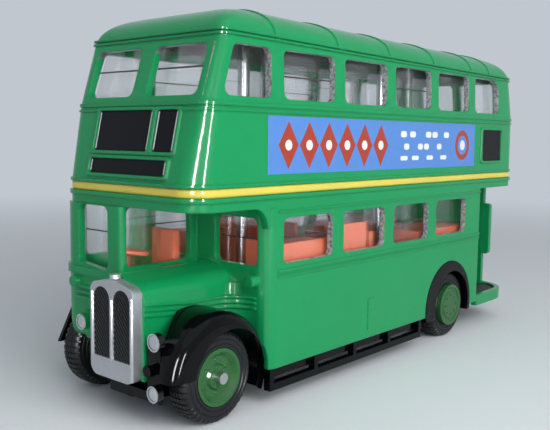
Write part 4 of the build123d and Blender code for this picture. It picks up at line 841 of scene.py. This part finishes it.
class BUS_OT_radiator(bpy.types.Operator):
    """Finishes the radiator, its wire mesh and beads, and the lamps"""

    bl_idname = "bus.radiator"
    bl_label = "Radiator and lamps"

    def execute(self, context):
        satin = silver_paint("silver_paint_satin", SATIN_SILVER, roughness=0.36)
        paint_nodes(satin, "radiator_shell")
        ground = styrene_moulded("styrene_mesh_ground", MESH_GROUND, roughness=0.6, specular=0.3)
        paint_nodes(ground, "radiator_grille")
        bright = silver_paint("silver_paint_bright", BRIGHT_SILVER, roughness=0.28)
        paint_nodes(bright, "filler_cap")
        black_lamp = tipped_silver("styrene_black_tipped", colours().black)
        paint_nodes(black_lamp, "headlamp_left", "fog_lamp")
        paint_nodes(tipped_silver("enamel_green_tipped", colours().green), "headlamp_right")
        round_edges(sizes().edge_round, "radiator_shell")
        self.weave_mesh()
        self.add_beads(bright)
        for node, y, z, radius, floor in LENSES:
            mesh_data = bmesh.new()
            profile = self.lens_profile(radius)
            add_lathe(mesh_data, profile, (floor, y, z), FORWARD, LEFT, around(LENS_SEGMENTS))
            finish_piece("lens_" + node, mesh_data, [bright], BODY, smooth_angle=60.0)
        return {"FINISHED"}

    def weave_mesh(self):
        """Lays diagonal wires over the plate, where the shell leaves it open."""
        pitch, wire = sizes().mesh_pitch / MM, sizes().mesh_wire / MM
        cover = surface("radiator_shell")
        mesh_data = bmesh.new()
        for opening in GRILLE_OPENINGS:
            low_y, high_y, low_z, high_z = opening
            right, left = low_y + GRILLE_INSET, high_y - GRILLE_INSET
            middle = (low_z + high_z) / 2
            places = [(LOOK_FROM_FRONT, y, z)
                      for y, z in ((right, middle), (left, middle), (right, middle + 1))]
            patch = FlatPatch("radiator_grille", AFT, *places)
            wide, tall = high_y - low_y, high_z - low_z
            for lean in (1, -1):
                low = 0.0 if lean > 0 else WIRE_PROUD * WIRE_CROSSING
                for k in range(int(-tall / pitch) - 1, int((wide + tall) / pitch) + 2):
                    run = self.open_run(cover, patch.origin.x, opening, k * pitch, lean)
                    if len(run) > FEWEST_STEPS:
                        self.add_wire(mesh_data, patch, run[0], run[-1], wire, low)
        # The wires are a lighter black than the plate as a painted sheen
        black = styrene_moulded("styrene_mesh_black_sheen", MESH_WIRE_SHEEN_BLACK, roughness=0.35, specular=0.3)
        finish_piece("radiator_mesh", mesh_data, [black], BODY)

    def open_run(self, cover, plate_x, opening, offset, lean):
        """The places along a diagonal, on the plate's patch, that the shell leaves open."""
        low_y, high_y, low_z, high_z = opening
        wide, tall = high_y - low_y, high_z - low_z
        run = []
        for step in range(int(tall / WIRE_STEP) + 1):
            v = step * WIRE_STEP
            u = offset + (v if lean > 0 else tall - v) * WIRE_LEAN
            start = Vector((LOOK_FROM_FRONT, low_y + u, low_z + v)) * MM
            met = cover.ray_cast(start, Vector(AFT))[0]
            if 0 <= u <= wide and (met is None or met.x < plate_x):
                run.append((u - GRILLE_INSET, v - tall / 2))
        return run

    def add_wire(self, mesh_data, patch, start, end, wire, low):
        """A straight wire between two places on the patch."""
        run = Vector((end[0] - start[0], end[1] - start[1]))
        side = Vector((-run.y, run.x)).normalized() * wire / 2
        outline = [(start[0] - side.x, start[1] - side.y), (end[0] - side.x, end[1] - side.y),
                   (end[0] + side.x, end[1] + side.y), (start[0] + side.x, start[1] + side.y)]
        add_plate(mesh_data, patch, outline, low, low + WIRE_PROUD)

    def add_beads(self, silver):
        """Runs half-round beads down the edges of the grille."""
        mesh_data = bmesh.new()
        for y, low, high, radius in BEADS:
            face = hit("radiator_shell", (LOOK_FROM_FRONT, y, (low + high) / 2), AFT).x / MM
            length, end = high - low, radius * BEAD_END
            profile = [(0, THREAD), (0, end), (end, radius), (length - end, radius),
                       (length, end), (length, THREAD)]
            centre = (face - BEAD_SINK, y, low)
            add_lathe(mesh_data, profile, centre, UP, FORWARD, around(BEAD_SEGMENTS))
        finish_piece("radiator_beads", mesh_data, [silver], BODY, smooth_angle=60.0)

    def lens_profile(self, radius):
        """A domed lens with rings, along from its floor and out."""
        profile = [(0.0, radius), (LENS_BASE, radius)]
        for k, turn in enumerate(LENS_TURNS):
            rise = math.radians(turn)
            along = LENS_BASE + LENS_RISE * math.sin(rise) + LENS_FLUTES * (k % 2)
            profile.append((along, radius * math.cos(rise)))
        return profile + [(LENS_BASE + LENS_RISE, THREAD), (0.0, THREAD)]


# Wheels, in mm
TYRE_RADIUS = 6.6
TYRE_WIDTH = 3.9
TYRE_SHOULDER = 1.1
FRONT_X = 42.3
REAR_X = -22.75
# Tyres: node, body, axle x, outer face y, side
TYRES = (
    ("front_tyre_left", "front_wheels", FRONT_X, 14.2, 1),
    ("front_tyre_right", "front_wheels", FRONT_X, 14.2, -1),
    ("rear_tyre_left_outer", "rear_wheels", REAR_X, 14.2, 1),
    ("rear_tyre_left_inner", "rear_wheels", REAR_X, 9.8, 1),
    ("rear_tyre_right_outer", "rear_wheels", REAR_X, 14.2, -1),
    ("rear_tyre_right_inner", "rear_wheels", REAR_X, 9.8, -1),
)
# Sidewall from bore to shoulder: distance in from the face, radius
SIDEWALL = (
    (0.35, 4.1), (0.08, 4.2), (0.02, 4.35), (0.02, 4.55), (0.14, 4.62), (0.14, 4.74),
    (0.03, 4.82), (0.0, 5.05), (0.02, 5.3), (0.12, 5.36), (0.12, 5.46), (0.04, 5.52),
)
# Turns of the shoulder's round in degrees, and the turn from which the tread is cut into it
SHOULDER_TURNS = (18, 36, 54, 72, 86)
TREAD_FROM = 20
TREAD = "tread"
GROOVES = 3
GROOVE_WIDTH = 0.16
# Tread blocks: place as a share of a block's pitch, share of the tread depth cut away there
BLOCK_PARTS = ((0.0, 0.0), (0.62, 0.0), (0.68, 0.8), (0.94, 0.8))
# Nuts: body, axle x, distance from the axle, face y
NUTS = (("front_wheels", FRONT_X, 1.22, 13.9), ("rear_wheels", REAR_X, 1.95, 14.9))
NUT_COUNT = 8
NUT_RADIUS = 0.17
NUT_RISE = 0.16
NUT_SIDES = 6
# Height of a nut's flats and radius of its top, as shares
NUT_FLATS = 0.7
NUT_TOP = 0.6
# Ringed dimples of the front hubs
EYE_COUNT = 6
EYE_REACH = 2.32
EYE_RADIUS = 0.3
EYE_FACE = 13.5
EYE_TUBE = 0.08
EYE_SEGMENTS = 20
EYE_TUBE_SEGMENTS = 10


def tyre_profile(depth):
    """A tyre's outline with its grooves: along, radius and a mark where the tread is cut."""
    half = TYRE_WIDTH / 2
    flat = half - TYRE_SHOULDER
    outer = [(half - inset, radius) for inset, radius in SIDEWALL]
    for turn in SHOULDER_TURNS:
        angle = math.radians(turn)
        point = (flat + TYRE_SHOULDER * math.cos(angle),
                 TYRE_RADIUS - TYRE_SHOULDER + TYRE_SHOULDER * math.sin(angle))
        outer.append(point + (TREAD,) if turn > TREAD_FROM else point)
    grooves = []
    floor = TYRE_RADIUS - depth
    for k in range(GROOVES):
        middle = flat - 2 * flat * (k + 0.5) / GROOVES
        near, far = middle + GROOVE_WIDTH / 2, middle - GROOVE_WIDTH / 2
        grooves += [(near, TYRE_RADIUS, TREAD), (near, floor), (far, floor), (far, TYRE_RADIUS, TREAD)]
    return outer + grooves + [(-along, *rest) for along, *rest in reversed(outer)]


def hub_places(axle_x, reach, face, turns):
    """Places round an axle, at a distance from it and on a face."""
    return [(axle_x + reach * math.cos(turn), face, TYRE_RADIUS + reach * math.sin(turn))
            for turn in turns]


class BUS_OT_wheels(bpy.types.Operator):
    """Moulds the tyres with their tread and finishes the wheel centres"""

    bl_idname = "bus.wheels"
    bl_label = "Wheels"

    def execute(self, context):
        green = styrene_moulded("styrene_hub_green_moulded", colours().hubs, roughness=0.2,
                                grain_depth_mm=0.004, specular=0.3)
        paint_nodes(green, *[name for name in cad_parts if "hub" in name])
        self.mould_tyres()
        self.add_nuts(green)
        self.add_eyes(green)
        return {"FINISHED"}

    def mould_tyres(self):
        """Tyres with walls, grooves and blocks, in place of the plain ones."""
        vinyl = soft_vinyl()
        depth = sizes().tread_depth / MM
        blocks = sizes().tread_blocks
        angles = [math.tau * (block + part) / blocks
                  for block in range(blocks) for part, cut in BLOCK_PARTS]
        cuts = [depth * cut for part, cut in BLOCK_PARTS] * blocks
        for node, body, axle_x, face_y, side in TYRES:
            paint_nodes(vinyl, node)
            mesh_data = bmesh.new()
            centre = (axle_x, side * (face_y - TYRE_WIDTH / 2), TYRE_RADIUS)
            add_lathe(mesh_data, tyre_profile(depth), centre, (0, side, 0), FORWARD, angles, cuts)
            piece = finish_piece(node + "_tread", mesh_data, [vinyl], body,
                                 smooth_angle=30.0)
            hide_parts(node)

    def add_nuts(self, green):
        """Wheel nuts round each wheel centre."""
        profile = [(-SINK, NUT_RADIUS), (NUT_RISE * NUT_FLATS, NUT_RADIUS),
                   (NUT_RISE, NUT_RADIUS * NUT_TOP), (NUT_RISE, THREAD), (-SINK, THREAD)]
        for body, axle_x, reach, face in NUTS:
            for name, side in SIDES.items():
                mesh_data = bmesh.new()
                for centre in hub_places(axle_x, reach, side * face, around(NUT_COUNT)):
                    add_lathe(mesh_data, profile, centre, (0, side, 0), FORWARD, around(NUT_SIDES))
                finish_piece(f"{body}_nuts_{name}", mesh_data, [green], body)

    def add_eyes(self, green):
        """Rings round the dimples of the front hubs."""
        profile = [(EYE_TUBE * math.cos(turn), EYE_RADIUS + EYE_TUBE * math.sin(turn))
                   for turn in around(EYE_TUBE_SEGMENTS)]
        for name, side in SIDES.items():
            mesh_data = bmesh.new()
            for centre in hub_places(FRONT_X, EYE_REACH, side * EYE_FACE, around(EYE_COUNT, start=0.5)):
                add_lathe(mesh_data, profile, centre, (0, side, 0), FORWARD, around(EYE_SEGMENTS))
            finish_piece(f"front_wheels_eyes_{name}", mesh_data, [green], "front_wheels",
                         smooth_angle=80.0)


class BUS_PT_panel(bpy.types.Panel):
    """Lists the steps that dress the bus"""

    bl_idname = "BUS_PT_panel"
    bl_label = "Double decker bus"
    bl_space_type = "VIEW_3D"
    bl_region_type = "UI"
    bl_category = "Bus"

    def draw(self, context):
        for group in (sizes(), colours()):
            for name in group.bl_rna.properties.keys():
                if name not in ("rna_type", "name"):
                    self.layout.prop(group, name)
        for step in STEPS:
            self.layout.operator(step.bl_idname)


STEPS = (BUS_OT_stage, BUS_OT_castings, BUS_OT_mouldings, BUS_OT_window_bars, BUS_OT_side_panels,
         BUS_OT_blinds, BUS_OT_radiator, BUS_OT_wheels)
CLASSES = (BusSizes, BusColours) + STEPS + (BUS_PT_panel,)


def register():
    """Registers the classes and their settings."""
    for cls in CLASSES:
        bpy.utils.register_class(cls)
    bpy.types.Scene.bus_sizes = bpy.props.PointerProperty(type=BusSizes)
    bpy.types.Scene.bus_colours = bpy.props.PointerProperty(type=BusColours)


def unregister():
    """Removes the settings and the classes."""
    del bpy.types.Scene.bus_colours
    del bpy.types.Scene.bus_sizes
    for cls in reversed(CLASSES):
        bpy.utils.unregister_class(cls)


def main():
    """Runs every step in order."""
    register()
    for step in STEPS:
        group, name = step.bl_idname.split(".")
        getattr(getattr(bpy.ops, group), name)()


if __name__ == "__main__":
    main()
